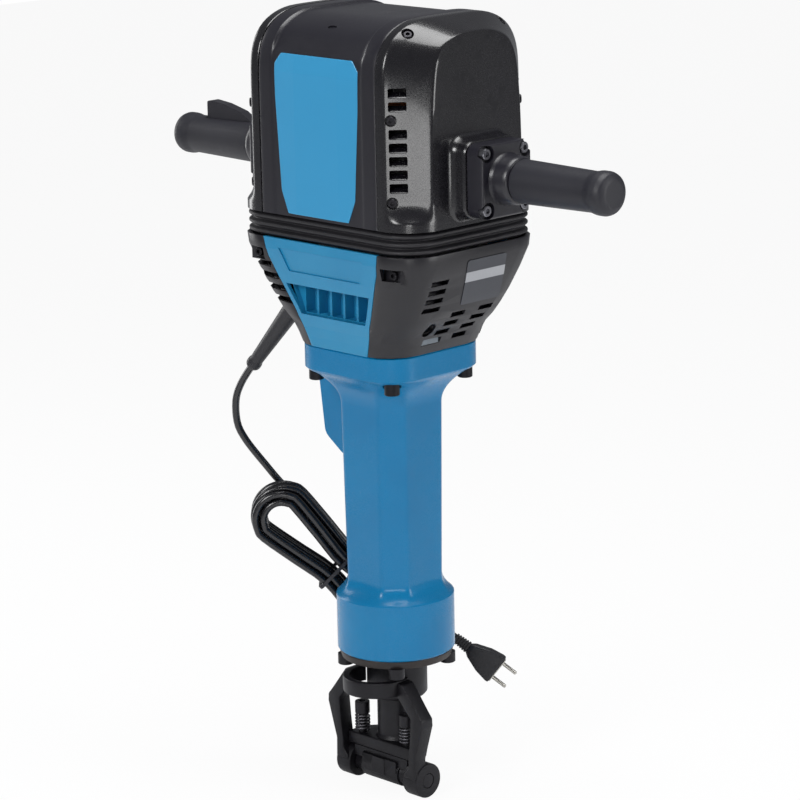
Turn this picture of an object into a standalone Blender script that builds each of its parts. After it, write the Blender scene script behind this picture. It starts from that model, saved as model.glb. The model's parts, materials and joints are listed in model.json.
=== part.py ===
"""Heavy electric breaker (electric jackhammer), built as separate pieces.

Metres, +Z up along the tool. The origin is the centre of the bit socket's mouth, in the lower
face of the nose plate. X runs along the two handles and -Y is the front. The hammer itself
(barrel, crank case, motor, lower covers) is the fixed body. The upper casing with the handles
slides on it, the bit retainer hangs under the nose plate, and the drive train turns inside.
"""
import math

import bmesh
import bpy
import numpy as np
from mathutils import Matrix, Vector

# ---------------------------------------------------------------- driving dimensions (metres)
GAP = 0.0003                  # clearance between faces that touch
SEAM = 0.0005                 # visible seam between moulded covers
CUT_EXTRA = 0.01              # how far cutters run past the face they open

# nose and bit socket
SOCKET_FLATS = 0.0286         # hexagon across flats, for a 1-1/8 in shank
SOCKET_DEPTH = 0.150
PLATE_HALF_X = 0.048
PLATE_FRONT = 0.0285
PLATE_BACK = 0.024
PLATE_T = 0.013
SLEEVE_R = 0.022              # lower, thin part of the nose
SLEEVE_BODY_R = 0.026         # part of the bit sleeve inside the nose housing
NOSE_R = 0.0325               # upper, thick part of the nose
NOSE_BOTTOM_Z = 0.060
RING_BOTTOM_Z = 0.106
RING_T = 0.008
RING_R = 0.060
SPIGOT_R = 0.0345
SPIGOT_H = 0.044
NOSE_BOLT_XY = 0.0385
NOSE_BOLT_HEAD_R = 0.0085
NOSE_BOLT_HEAD_H = 0.012
NOSE_BOLT_SHANK_R = 0.004
NOSE_BOLT_DEPTH = 0.014

# barrel housing
COLLAR_R = 0.0628
COLLAR_H = 0.062
SHOULDER_H = 0.014
BARREL_HALF_LOW = 0.0455      # half width over the flats, bottom
BARREL_HALF_TOP = 0.0475      # and top
BARREL_CORNER = 0.0205        # leg of each corner facet
FLARE_BOTTOM_Z = 0.385
FLANGE_BOTTOM_Z = 0.421
FLANGE_TOP_Z = 0.449
FLANGE_HALF_X = 0.0755
FLANGE_HALF_Y = 0.0735
FLANGE_CORNER = 0.038
BARREL_BORE_R = 0.036
LUG_OUT_X = 0.092
LUG_HALF_Y = 0.018
LUG_TOP_Z = 0.412
LUG_H = 0.094
FLANGE_BOLT_X = 0.056
FLANGE_BOLT_Y = 0.054
FLANGE_BOLT_HEAD_R = 0.008

# lower covers
LOWER_TOP_Z = 0.564
LOWER_WALL = 0.004
CORNER_STEPS = 4
POCKET_TOP_Z = LOWER_TOP_Z - 0.048
POCKET_BOTTOM_Z = LOWER_TOP_Z - 0.080
POCKET_DEPTH = 0.020
POCKET_LIP = 0.007
POCKET_RIBS = 4
POCKET_RIB_T = 0.003
DOOR_TOP_Z = LOWER_TOP_Z - 0.010
DOOR_BOTTOM_Z = LOWER_TOP_Z - 0.034
DOOR_DEPTH = 0.0015
VENT_H = 0.0052
VENT_PITCH = 0.0098
SIGHT_HOLE_R = 0.0075
WINDOW_W = 0.027
WINDOW_H = 0.007

# bellows
BELLOWS_H = 0.0244
BELLOWS_RIBS = 3
BELLOWS_T = 0.003
BELLOWS_DEPTH = 0.005

# upper casing
UPPER_BOTTOM_Z = 0.589
UPPER_TOP_Z = 0.797
UPPER_HALF_Y = 0.0985
PAD_X = 0.1315
PAD_HALF_Y = 0.0655
LAND_X = 0.1490                # outer face of the raised land that carries each handle bracket
LAND_EDGE = 0.0020             # how far the land runs past the bracket on every side
FOOT_H = 0.0105                # height of the rounded foot over the bellows
FOOT_CORNER = 0.040
BAND_HALF_X = 0.0843
SIDE_FRONT_X = 0.097
SHELL_T = 0.004
BAND_T = 0.006
PANEL_T = 0.003
PANEL_RECESS = 0.0022
PANEL_TOP_Z = UPPER_TOP_Z - 0.040
PANEL_HALF_TOP = 0.0605
PANEL_HALF_LOW = 0.0545
SIDE_VENTS = 7
SIDE_VENT_H = 0.0075
SIDE_VENT_PITCH = 0.0135
SIDE_VENT_TOP_Z = UPPER_TOP_Z - 0.069

# handles
HANDLE_Z = 0.638
HANDLE_HALF_SPAN = 0.3125
BRACKET_HALF_Y = 0.0355
BRACKET_BOTTOM_Z = HANDLE_Z - 0.038
BRACKET_H = 0.075
BRACKET_PLATE_T = 0.0212      # plate alone
BRACKET_T = 0.0425            # plate and neck, up to the grip
BRACKET_BOLT_Y = 0.0275
BRACKET_BOLT_DZ = 0.0285
BRACKET_BOLT_HEAD_R = 0.0065
TUBE_R = 0.016
TUBE_T = 0.003
GRIP_R = 0.0222
GRIP_WAIST_R = 0.0205
LEVER_ROOT_X = 0.204
LEVER_TIP_X = 0.2695
LEVER_HALF_T = 0.0055
LEVER_TIP_Z = HANDLE_Z + 0.0395
LEVER_ROOT_Z = HANDLE_Z + 0.031
LEVER_BOTTOM_Z = HANDLE_Z + 0.013

# suspension of the upper casing
GUIDE_Y = UPPER_HALF_Y - 0.0245
GUIDE_R = 0.006
GUIDE_BOTTOM_Z = 0.565
GUIDE_TOP_Z = UPPER_TOP_Z - 0.041
SUSPENSION_SPRING_R = 0.0115
SUSPENSION_BOSS_Z = 0.690
SUSPENSION_BOSS_H = 0.016

# drive train: axis heights and stations along X
CRANK_Z = 0.544
CRANK_R = 0.020
ROD_LENGTH = 0.090
ROD_T = 0.014
GEAR_MODULE_LOW = 0.003       # crank gear and layshaft pinion
GEAR_MODULE_HIGH = 0.002      # layshaft gear and motor pinion
CRANK_TEETH = 32
LAY_PINION_TEETH = 10
LAY_GEAR_TEETH = 40
MOTOR_TEETH = 10
LAYSHAFT_Z = CRANK_Z + (CRANK_TEETH + LAY_PINION_TEETH) * GEAR_MODULE_LOW / 2
MOTOR_Z = LAYSHAFT_Z + (LAY_GEAR_TEETH + MOTOR_TEETH) * GEAR_MODULE_HIGH / 2
GEAR_X = 0.038
GEAR_W = 0.014
HIGH_GEAR_X = 0.060
HIGH_GEAR_W = 0.010
BEARING_W = 0.010
WALL_BEARING_X = 0.0235
COVER_BEARING_X = 0.0745
CASE_LEFT_X = 0.036
CASE_RIGHT_X = 0.057
CASE_HALF_Y = 0.056
CASE_LOW_TOP_Z = 0.594
CASE_TOP_Z = MOTOR_Z + 0.023
CASE_SHOULDER_Z = CASE_TOP_Z - 0.040
COVER_T = 0.034

# hammer
CYLINDER_R = 0.034
CYLINDER_BORE_R = 0.0252
CYLINDER_BOTTOM_Z = 0.250
CYLINDER_TOP_Z = 0.470
CYLINDER_FLANGE_R = 0.0416
CYLINDER_FLANGE_T = 0.007
PISTON_H = 0.033
WRIST_PIN_R = 0.005
STRIKER_H = 0.090
STRIKER_BOTTOM_Z = 0.3003
STRIKER_NOSE_R = 0.014
STRIKER_NOSE_H = 0.048
IMPACT_R = 0.0215
IMPACT_Z = 0.1705
IMPACT_H = 0.062

# motor
STATOR_R = 0.048
STATOR_X = -0.068
STATOR_L = 0.072
ROTOR_R = 0.0265
MOTOR_WALL = 0.004
MOTOR_LEFT_X = -0.112
MOTOR_RIGHT_X = 0.0205
SHAFT_R = 0.006

# bit retainer
HINGE_Y = -0.0165
HINGE_Z = -0.0215
HINGE_PIN_R = 0.008
BARREL_PIVOT_R = 0.014
PIVOT_HALF_X = 0.0275
EAR_IN_X = 0.0403
EAR_OUT_X = 0.061
EAR_R = 0.019
ARM_T = 0.018
ARM_Y = -0.027
KNEE_X = 0.072
KNEE_Z = 0.048
LIP_CENTRE_Y = -0.030
LIP_R = 0.0367
LIP_T = 0.008
LIP_H = 0.017
LIP_TOP_Z = 0.089
CUSHION_X = 0.0335
CUSHION_Y = -0.0205
CUSHION_SHANK_R = 0.0045
CUSHION_HEAD_R = 0.008
CUSHION_HEAD_Z = 0.0345
CUSHION_HEAD_H = 0.0135
SPRING_R = 0.0072             # centre of the wire
SPRING_WIRE = 0.0030
SPRING_CURLS = 5

# cord
CORD_D = 0.008
GUARD_START = Vector((-0.082, -0.040, 0.499))
GUARD_END = Vector((-0.1723, -0.040, 0.4013))
GUARD_ROOT_R = 0.0115
GUARD_TIP_R = 0.0072
VIEW_AZIMUTH = math.radians(45.2)   # the hank lies square to the photograph's view, behind the barrel
HANK_DEPTH = 0.0705           # its front layer, behind the tool's axis
HANK_CENTRE_S = -0.062        # its middle, to the right (+) or left of the axis as seen in the photograph
HANK_CENTRE_Z = 0.1775
HANK_TILT = math.radians(-44.6)
HANK_HALF = 0.083             # half the distance between its two bights
HANK_INNER_R = 0.0165
HANK_STEP = 0.0089
HANK_LAYERS = 4
HANK_LOOPS_PER_LAYER = 2
HANK_PINCH = 0.0112
HANK_CLIMB = 0.5              # share of a loop over which the cord climbs to the next layer
LOOP_POINTS = 24

ROUND_STEPS = 20
INNER_STEPS = 16


# ---------------------------------------------------------------- scene and materials
def clear_scene():
    for thing in list(bpy.data.objects):
        bpy.data.objects.remove(thing, do_unlink=True)
    for group in list(bpy.data.collections):
        bpy.data.collections.remove(group)


def new_collection(name):
    group = bpy.data.collections.new(name)
    bpy.context.scene.collection.children.link(group)
    return group


clear_scene()
PARTS = new_collection("electric_jackhammer")
CUTTERS = new_collection("cutters")
MATERIALS = {}


def material(name, colour, roughness, metallic=0.0):
    if name not in MATERIALS:
        made = bpy.data.materials.new(name)
        made.use_nodes = True
        shader = made.node_tree.nodes["Principled BSDF"]
        shader.inputs["Base Color"].default_value = (*colour, 1.0)
        shader.inputs["Roughness"].default_value = roughness
        shader.inputs["Metallic"].default_value = metallic
        MATERIALS[name] = made
    return MATERIALS[name]


BLUE = material("blue_paint", (0.017, 0.23, 0.46), 0.25)
PANEL_BLUE = material("panel_blue", (0.06, 0.35, 0.62), 0.35)
BLACK = material("black_plastic", (0.012, 0.012, 0.014), 0.45)
GLOSS_BLACK = material("gloss_black", (0.010, 0.010, 0.011), 0.2)
RUBBER = material("black_rubber", (0.012, 0.012, 0.012), 0.7)
DARK_STEEL = material("dark_steel", (0.03, 0.028, 0.03), 0.45, 0.7)
STEEL = material("steel", (0.45, 0.45, 0.46), 0.35, 1.0)
CAST = material("cast_alloy", (0.35, 0.36, 0.37), 0.55, 0.8)
COPPER = material("copper", (0.5, 0.2, 0.1), 0.4, 0.9)
CLEAR = material("clear_lens", (0.6, 0.62, 0.6), 0.2)
NICKEL = material("nickel", (0.6, 0.6, 0.58), 0.25, 1.0)


# ---------------------------------------------------------------- modelling helpers
def finish_mesh(bm, name):
    mesh = bpy.data.meshes.new(name)
    bm.to_mesh(mesh)
    bm.free()
    return mesh


def place(name, mesh, mat, origin=(0.0, 0.0, 0.0)):
    """Put a finished mesh into the model under its node's name, with its origin on its joint."""
    thing = bpy.data.objects.new(name, mesh)
    PARTS.objects.link(thing)
    mesh.transform(Matrix.Translation(-Vector(origin)))
    thing.location = origin
    mesh.materials.clear()
    mesh.materials.append(mat)
    mesh.shade_smooth()
    mesh.set_sharp_from_angle(angle=math.radians(35.0))
    return thing


def place_copies(name, mesh, mat, spots):
    """One object for each copy of a repeated piece, sharing one mesh."""
    for number, spot in enumerate(spots, 1):
        thing = bpy.data.objects.new(f"{name}_{number}", mesh)
        PARTS.objects.link(thing)
        thing.location = spot
    mesh.materials.append(mat)
    mesh.shade_smooth()
    mesh.set_sharp_from_angle(angle=math.radians(35.0))


def helper_object(name, mesh):
    thing = bpy.data.objects.new(name, mesh)
    CUTTERS.objects.link(thing)
    thing.hide_render = True
    thing.display_type = "WIRE"
    return thing


def baked(thing):
    """The evaluated mesh of an object, which is then removed."""
    bpy.context.view_layer.update()
    seen = thing.evaluated_get(bpy.context.evaluated_depsgraph_get())
    mesh = bpy.data.meshes.new_from_object(seen)
    mesh.transform(thing.matrix_world)
    bpy.data.objects.remove(thing, do_unlink=True)
    return mesh


def welded(mesh, distance=0.00002):
    bm = bmesh.new()
    bm.from_mesh(mesh)
    bmesh.ops.remove_doubles(bm, verts=bm.verts, dist=distance)
    bm.to_mesh(mesh)
    bm.free()
    return mesh


def outward(mesh):
    bm = bmesh.new()
    bm.from_mesh(mesh)
    bmesh.ops.recalc_face_normals(bm, faces=bm.faces)
    bm.to_mesh(mesh)
    bm.free()
    return mesh


def combine(mesh, other, operation):
    """Boolean of two meshes: UNION, DIFFERENCE or INTERSECT."""
    body = helper_object("body", mesh)
    tool = helper_object("tool", other)
    change = body.modifiers.new("change", "BOOLEAN")
    change.operation = operation
    change.object = tool
    result = baked(body)
    bpy.data.objects.remove(tool, do_unlink=True)
    return welded(result)


def cut(mesh, *tools):
    for tool in tools:
        mesh = combine(mesh, tool, "DIFFERENCE")
    return mesh


def union(mesh, *others):
    for other in others:
        mesh = combine(mesh, other, "UNION")
    return mesh


def together(*meshes):
    """Separate solids kept in one mesh."""
    bm = bmesh.new()
    for mesh in meshes:
        bm.from_mesh(mesh)
    return finish_mesh(bm, "together")


def moved(mesh, offset=(0, 0, 0), turn=None):
    made = mesh.copy()
    if turn is not None:
        made.transform(turn)
    made.transform(Matrix.Translation(Vector(offset)))
    return made


def mirrored_x(mesh):
    made = mesh.copy()
    made.transform(Matrix.Scale(-1.0, 4, (1, 0, 0)))
    made.flip_normals()
    return made


def mirrored_y(mesh):
    made = mesh.copy()
    made.transform(Matrix.Scale(-1.0, 4, (0, 1, 0)))
    made.flip_normals()
    return made


def box(low, high, bevel=0.0):
    """An axis-aligned box between two corners, optionally with bevelled edges."""
    low, high = Vector(low), Vector(high)
    bm = bmesh.new()
    bmesh.ops.create_cube(bm, size=1.0)
    bmesh.ops.scale(bm, vec=high - low, verts=bm.verts)
    bmesh.ops.translate(bm, vec=(low + high) / 2, verts=bm.verts)
    if bevel:
        bmesh.ops.bevel(bm, geom=bm.edges[:], offset=bevel, segments=1, affect="EDGES", profile=0.5)
    return finish_mesh(bm, "box")


def cylinder(radius, start, end, steps=ROUND_STEPS, radius_end=None):
    """A straight round bar from one point to another."""
    start, end = Vector(start), Vector(end)
    along = end - start
    bm = bmesh.new()
    bmesh.ops.create_cone(bm, cap_ends=True, segments=steps, radius1=radius,
                          radius2=radius if radius_end is None else radius_end, depth=along.length)
    turn = along.to_track_quat("Z", "Y").to_matrix().to_4x4()
    bmesh.ops.transform(bm, matrix=Matrix.Translation((start + end) / 2) @ turn, verts=bm.verts)
    return finish_mesh(bm, "bar")


def turned(profile, steps=ROUND_STEPS, closed=False):
    """Screw a profile of (radius, height) points, listed top to bottom, round +Z.

    An open profile is capped flat at both ends; a closed one makes a ring."""
    bm = bmesh.new()
    points = [bm.verts.new((radius, 0.0, height)) for radius, height in profile if radius > 0.0]
    for one, two in zip(points, points[1:]):
        bm.edges.new((one, two))
    if closed:
        bm.edges.new((points[-1], points[0]))
    thing = helper_object("turned", finish_mesh(bm, "profile"))
    screw = thing.modifiers.new("screw", "SCREW")
    screw.steps = steps
    screw.render_steps = steps
    screw.use_merge_vertices = True
    screw.merge_threshold = 0.00005
    bm = bmesh.new()
    bm.from_mesh(baked(thing))
    bmesh.ops.remove_doubles(bm, verts=bm.verts, dist=0.00002)
    if not closed:
        bmesh.ops.holes_fill(bm, edges=[edge for edge in bm.edges if edge.is_boundary], sides=0)
    return outward(finish_mesh(bm, "turned"))


def tube_ring(outer, inner, bottom, top, steps=ROUND_STEPS):
    """A plain ring or tube with square ends."""
    return turned([(outer, top), (outer, bottom), (inner, bottom), (inner, top)], steps, closed=True)


def rounded_section(half_x, half_y, corner, roundness=1.0, steps=CORNER_STEPS):
    """A rectangle with rounded (1) or chamfered (0) corners, anticlockwise, as (x, y) points."""
    corner = min(corner, half_x - 0.0015, half_y - 0.0015)
    points = []
    for quarter in range(4):
        sign_x = (1, -1, -1, 1)[quarter]
        sign_y = (1, 1, -1, -1)[quarter]
        for step in range(steps + 1):
            share = step / steps
            angle = math.radians(90.0) * (quarter + share)
            arc = Vector((sign_x * (half_x - corner), sign_y * (half_y - corner)))
            arc += corner * Vector((math.cos(angle), math.sin(angle)))
            first = angle_point(half_x, half_y, corner, quarter, 0.0)
            last = angle_point(half_x, half_y, corner, quarter, 1.0)
            points.append(first.lerp(last, share).lerp(arc, roundness))
    return points


def angle_point(half_x, half_y, corner, quarter, share):
    sign_x = (1, -1, -1, 1)[quarter]
    sign_y = (1, 1, -1, -1)[quarter]
    angle = math.radians(90.0) * (quarter + share)
    centre = Vector((sign_x * (half_x - corner), sign_y * (half_y - corner)))
    return centre + corner * Vector((math.cos(angle), math.sin(angle)))


def loft(rings, closed_tube=False, cap=True):
    """Skin equal rings of 3-D points; a closed tube joins the last ring to the first."""
    bm = bmesh.new()
    rows = [[bm.verts.new(point) for point in ring] for ring in rings]
    pairs = list(zip(rows, rows[1:]))
    if closed_tube:
        pairs.append((rows[-1], rows[0]))
    count = len(rows[0])
    for low, high in pairs:
        for index in range(count):
            after = (index + 1) % count
            bm.faces.new((low[index], low[after], high[after], high[index]))
    if cap and not closed_tube:
        bm.faces.new(list(reversed(rows[0])))
        bm.faces.new(rows[-1])
    bmesh.ops.connect_verts_nonplanar(bm, angle_limit=0.0005, faces=bm.faces)
    bmesh.ops.recalc_face_normals(bm, faces=bm.faces)
    return finish_mesh(bm, "loft")


def ring_at(height, half_x, half_y, corner, roundness=1.0, steps=CORNER_STEPS):
    return [(x, y, height) for x, y in rounded_section(half_x, half_y, corner, roundness, steps)]


def prism(outline, start, end, plane="XZ"):
    """A flat outline given thickness between two stations along the third axis."""
    curve = bpy.data.curves.new("outline", "CURVE")
    curve.dimensions = "2D"
    curve.fill_mode = "BOTH"
    curve.extrude = abs(end - start) / 2
    spline = curve.splines.new("POLY")
    spline.points.add(len(outline) - 1)
    for point, (a, b) in zip(spline.points, outline):
        point.co = (a, b, 0.0, 1.0)
    spline.use_cyclic_u = True
    thing = bpy.data.objects.new("outline", curve)
    CUTTERS.objects.link(thing)
    columns = {"XZ": ((1, 0, 0), (0, 0, 1), (0, -1, 0)), "YZ": ((0, 1, 0), (0, 0, 1), (1, 0, 0)),
               "XY": ((1, 0, 0), (0, 1, 0), (0, 0, 1))}[plane]
    turn = Matrix(columns).transposed()
    middle = (start + end) / 2 * (-1 if plane == "XZ" else 1)
    thing.matrix_world = Matrix.Translation(turn @ Vector((0.0, 0.0, middle))) @ turn.to_4x4()
    return outward(welded(baked(thing)))


def arc_points(centre, radius, start, end, steps):
    """Points on a circle arc in a plane, angles in degrees."""
    made = []
    for step in range(steps + 1):
        angle = math.radians(start + (end - start) * step / steps)
        made.append((centre[0] + radius * math.cos(angle), centre[1] + radius * math.sin(angle)))
    return made


def wire(points, radius, resolution=1):
    """A tube of constant radius along a list of points, with closed ends."""
    curve = bpy.data.curves.new("wire", "CURVE")
    curve.dimensions = "3D"
    curve.bevel_depth = radius
    curve.bevel_resolution = resolution
    curve.use_fill_caps = True
    spline = curve.splines.new("POLY")
    spline.points.add(len(points) - 1)
    for point, place_ in zip(spline.points, points):
        point.co = (*place_, 1.0)
    thing = bpy.data.objects.new("wire", curve)
    CUTTERS.objects.link(thing)
    return outward(welded(baked(thing)))


def smooth_route(start, start_aim, spots, end, end_aim, spacing):
    """Points along a smooth curve through the spots, with a straight length at each end."""
    straight = 0.009
    knots = [start, start + start_aim * straight, *spots, end - end_aim * straight, end]
    dense = []
    for a, b, c, d in zip(knots, knots[1:], knots[2:], knots[3:]):
        for step in range(20):
            t = step / 20
            dense.append(0.5 * ((2 * b) + (c - a) * t + (2 * a - 5 * b + 4 * c - d) * t * t
                                + (3 * b - a - 3 * c + d) * t ** 3))
    dense.append(knots[-2])
    lengths = np.cumsum([0.0] + [(q - p).length for p, q in zip(dense, dense[1:])])
    table = np.array([tuple(point) for point in dense])
    stations = np.linspace(0.0, lengths[-1], max(2, round(lengths[-1] / spacing)) + 1)
    middle = [Vector([float(np.interp(s, lengths, table[:, axis])) for axis in range(3)]) for s in stations]
    return [start, *middle, end]


def bolt(head_r, head_h, shank_r, shank_h, steps=12):
    """A cap screw along -Z: its head sits on z = 0 and the shank points down."""
    return turned([(head_r, head_h), (head_r, 0.0), (shank_r, 0.0), (shank_r, -shank_h)], steps)


def gear(teeth, module, start_x, width, axis_z, phase=0.0, bore=0.0):
    """A spur gear with its axis along X, with trapezoid teeth."""
    pitch = teeth * module / 2
    outline = []
    for tooth in range(teeth):
        for share, radius in ((-0.33, pitch - 1.2 * module), (-0.13, pitch + 0.8 * module),
                              (0.13, pitch + 0.8 * module), (0.33, pitch - 1.2 * module)):
            angle = 2 * math.pi * (tooth + share + phase) / teeth
            outline.append((radius * math.sin(angle), axis_z + radius * math.cos(angle)))
    mesh = prism(outline, start_x, start_x + width, "YZ")
    if bore:
        hole = cylinder(bore, (start_x - CUT_EXTRA, 0, axis_z), (start_x + width + CUT_EXTRA, 0, axis_z), 16)
        mesh = cut(mesh, hole)
    return mesh


def along_x(profile, axis_z, steps=ROUND_STEPS, closed=False):
    """A turned piece on an axis along X: profile of (radius, x) points, from the high end of X down."""
    mesh = turned(profile, steps, closed)
    mesh.transform(Matrix.Rotation(math.radians(90.0), 4, "Y"))
    mesh.transform(Matrix.Translation((0.0, 0.0, axis_z)))
    return mesh


# ---------------------------------------------------------------- barrel housing
def ring_z(z, half, roundness, corner=None):
    return ring_at(z, half, half, BARREL_CORNER if corner is None else corner, roundness)


def barrel_housing():
    bottom = RING_BOTTOM_Z + RING_T + GAP
    collar_top = bottom + COLLAR_H
    octagon_z = collar_top + SHOULDER_H
    rings = [
        ring_z(bottom, COLLAR_R - 0.0015, 1.0, COLLAR_R),
        ring_z(bottom + 0.002, COLLAR_R, 1.0, COLLAR_R),
        ring_z(collar_top - 0.003, COLLAR_R, 1.0, COLLAR_R),
        ring_z(collar_top, COLLAR_R - 0.0015, 1.0, COLLAR_R),
        ring_z(collar_top + 0.35 * SHOULDER_H, (COLLAR_R + BARREL_HALF_LOW) / 2, 0.85, 0.042),
        ring_z(octagon_z, BARREL_HALF_LOW + 0.001, 0.15),
        ring_z(octagon_z + 0.012, BARREL_HALF_LOW, 0.0),
        ring_z(FLARE_BOTTOM_Z, BARREL_HALF_TOP, 0.0),
        ring_z(FLARE_BOTTOM_Z + 0.014, BARREL_HALF_TOP + 0.004, 0.1),
        ring_z(FLARE_BOTTOM_Z + 0.026, BARREL_HALF_TOP + 0.012, 0.3, 0.028),
        ring_z(FLANGE_BOTTOM_Z, FLANGE_HALF_Y - 0.003, 0.9, FLANGE_CORNER),
        ring_at(FLANGE_BOTTOM_Z + 0.002, FLANGE_HALF_X, FLANGE_HALF_Y, FLANGE_CORNER),
        ring_at(FLANGE_TOP_Z - 0.001, FLANGE_HALF_X, FLANGE_HALF_Y, FLANGE_CORNER),
        ring_at(FLANGE_TOP_Z, FLANGE_HALF_X - 0.001, FLANGE_HALF_Y - 0.001, FLANGE_CORNER),
    ]
    body = loft(rings)
    lug_low = LUG_TOP_Z - LUG_H
    lug = prism([(-0.030, lug_low), (-0.055, lug_low), (-LUG_OUT_X + 0.009, lug_low + 0.020),
                 (-LUG_OUT_X, LUG_TOP_Z), (-0.030, LUG_TOP_Z)], -LUG_HALF_Y, LUG_HALF_Y)
    body = union(body, lug)
    spigot_top = bottom + SPIGOT_H + GAP
    flange_floor = FLANGE_TOP_Z - CYLINDER_FLANGE_T
    bore = turned([
        (0.0, FLANGE_TOP_Z + CUT_EXTRA), (CYLINDER_FLANGE_R + 0.0008, FLANGE_TOP_Z + CUT_EXTRA),
        (CYLINDER_FLANGE_R + 0.0008, flange_floor), (BARREL_BORE_R, flange_floor),
                   (BARREL_BORE_R, spigot_top),
        (SPIGOT_R + GAP, spigot_top), (SPIGOT_R + GAP, bottom - CUT_EXTRA), (0.0, bottom - CUT_EXTRA)])
    body = cut(body, bore)
    holes = [cylinder(NOSE_BOLT_SHANK_R + GAP, (x, y, bottom - CUT_EXTRA),
                      (x, y, bottom + NOSE_BOLT_DEPTH), 12)
             for x, y in corner_points(NOSE_BOLT_XY, NOSE_BOLT_XY)]
    pockets = [cylinder(FLANGE_BOLT_HEAD_R + 0.001, (x, y, FLANGE_BOTTOM_Z - 0.040),
                        (x, y, FLANGE_BOTTOM_Z), 12)
               for x, y in corner_points(FLANGE_BOLT_X, FLANGE_BOLT_Y)]
    return place("barrel_housing", cut(body, together(*holes), together(*pockets)), BLUE)


def corner_points(half_x, half_y):
    return [(half_x, half_y), (-half_x, half_y), (-half_x, -half_y), (half_x, -half_y)]


def nose_bolts():
    """Four cap screws whose heads hang below the ring."""
    one = bolt(NOSE_BOLT_HEAD_R, NOSE_BOLT_HEAD_H, NOSE_BOLT_SHANK_R, RING_T + NOSE_BOLT_DEPTH - 0.001)
    one.transform(Matrix.Rotation(math.pi, 4, "X"))
    spots = [(x, y, RING_BOTTOM_Z - GAP) for x, y in corner_points(NOSE_BOLT_XY, NOSE_BOLT_XY)]
    place_copies("nose_bolt", one, DARK_STEEL, spots)


def nose_housing():
    top = RING_BOTTOM_Z + RING_T + SPIGOT_H
    body = turned([
        (SPIGOT_R, top), (SPIGOT_R, RING_BOTTOM_Z + RING_T), (RING_R, RING_BOTTOM_Z + RING_T),
        (RING_R + 0.001, RING_BOTTOM_Z + RING_T - 0.002), (RING_R - 0.002, RING_BOTTOM_Z),
        (NOSE_R + 0.001, RING_BOTTOM_Z), (NOSE_R, RING_BOTTOM_Z - 0.002), (NOSE_R, NOSE_BOTTOM_Z + 0.003),
        (NOSE_R - 0.003, NOSE_BOTTOM_Z), (SLEEVE_R + GAP, NOSE_BOTTOM_Z),
        (SLEEVE_R + GAP, NOSE_BOTTOM_Z + 0.006), (SLEEVE_BODY_R + GAP, NOSE_BOTTOM_Z + 0.006),
        (SLEEVE_BODY_R + GAP, top)], ROUND_STEPS, closed=True)
    holes = [cylinder(NOSE_BOLT_SHANK_R + GAP, (x, y, RING_BOTTOM_Z - CUT_EXTRA),
                      (x, y, RING_BOTTOM_Z + RING_T + CUT_EXTRA), 12)
             for x, y in corner_points(NOSE_BOLT_XY, NOSE_BOLT_XY)]
    return place("nose_housing", cut(body, together(*holes)), DARK_STEEL)


def bit_sleeve():
    shoulder_z = NOSE_BOTTOM_Z + 0.006 + GAP
    top = RING_BOTTOM_Z + RING_T + SPIGOT_H + 0.002
    body = turned([(0.0, top), (SLEEVE_BODY_R, top), (SLEEVE_BODY_R, shoulder_z), (SLEEVE_R, shoulder_z),
                   (SLEEVE_R, PLATE_T + 0.004), (SLEEVE_R + 0.003, PLATE_T - 0.002), (0.0, PLATE_T - 0.002)])
    notch = 0.006
    plate_outline = [(PLATE_HALF_X, -PLATE_FRONT), (PLATE_HALF_X, -0.006), (PLATE_HALF_X - 0.014, 0.010),
                     (0.020, PLATE_BACK), (-0.020, PLATE_BACK), (-PLATE_HALF_X + 0.014, 0.010),
                     (-PLATE_HALF_X, -0.006), (-PLATE_HALF_X, -PLATE_FRONT)]
    plate = prism(plate_outline, 0.0, PLATE_T, "XY")
    ledge = box((-PLATE_HALF_X + notch, -PLATE_FRONT - CUT_EXTRA, PLATE_T - 0.002),
                (PLATE_HALF_X - notch, -PLATE_FRONT + 0.003, PLATE_T + CUT_EXTRA))
    body = union(cut(plate, ledge), body)
    hexagon_r = SOCKET_FLATS / math.sqrt(3.0)
    hexagon = arc_points((0.0, 0.0), hexagon_r, 0, 300, 5)
    socket = prism(hexagon, -CUT_EXTRA, SOCKET_DEPTH, "XY")
    tail_hole = cylinder(STRIKER_NOSE_R - 0.0005, (0, 0, SOCKET_DEPTH - 0.002), (0, 0, top + CUT_EXTRA), 24)
    bolt_holes = [cylinder(CUSHION_SHANK_R + GAP, (x, CUSHION_Y, -CUT_EXTRA),
                           (x, CUSHION_Y, PLATE_T + CUT_EXTRA), 12) for x in (-CUSHION_X, CUSHION_X)]
    return place("bit_sleeve", cut(body, socket, tail_hole, together(*bolt_holes)), DARK_STEEL)


# ---------------------------------------------------------------- lower housing
def lower_section(height):
    """Half sizes and corner radius of the lower housing at a height."""
    drops = [0.115, 0.104, 0.093, 0.083, 0.073, 0.057, 0.034, 0.012, 0.0]
    heights = [LOWER_TOP_Z - drop for drop in drops]
    low_x, top_x = FLANGE_HALF_X + 0.001, PAD_X - 0.0005
    low_y, top_y = FLANGE_HALF_Y + 0.001, UPPER_HALF_Y + 0.0005
    shares_x = (0.0, 0.083, 0.193, 0.358, 0.486, 0.651, 0.835, 0.982, 1.0)
    shares_y = (0.0, 0.061, 0.143, 0.265, 0.347, 0.510, 0.755, 0.959, 1.0)
    half_x = [low_x + share * (top_x - low_x) for share in shares_x]
    half_y = [low_y + share * (top_y - low_y) for share in shares_y]
    return float(np.interp(height, heights, half_x)), float(np.interp(height, heights, half_y))


def seam_half(height):
    """Half width of the blue covers at a height."""
    return float(np.interp(height, [0.440, 0.449, 0.484, 0.516, 0.543, 0.566],
                           [0.038, 0.041, 0.053, 0.067, 0.079, 0.0865]))


LOWER_CORNER = 0.038


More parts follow.
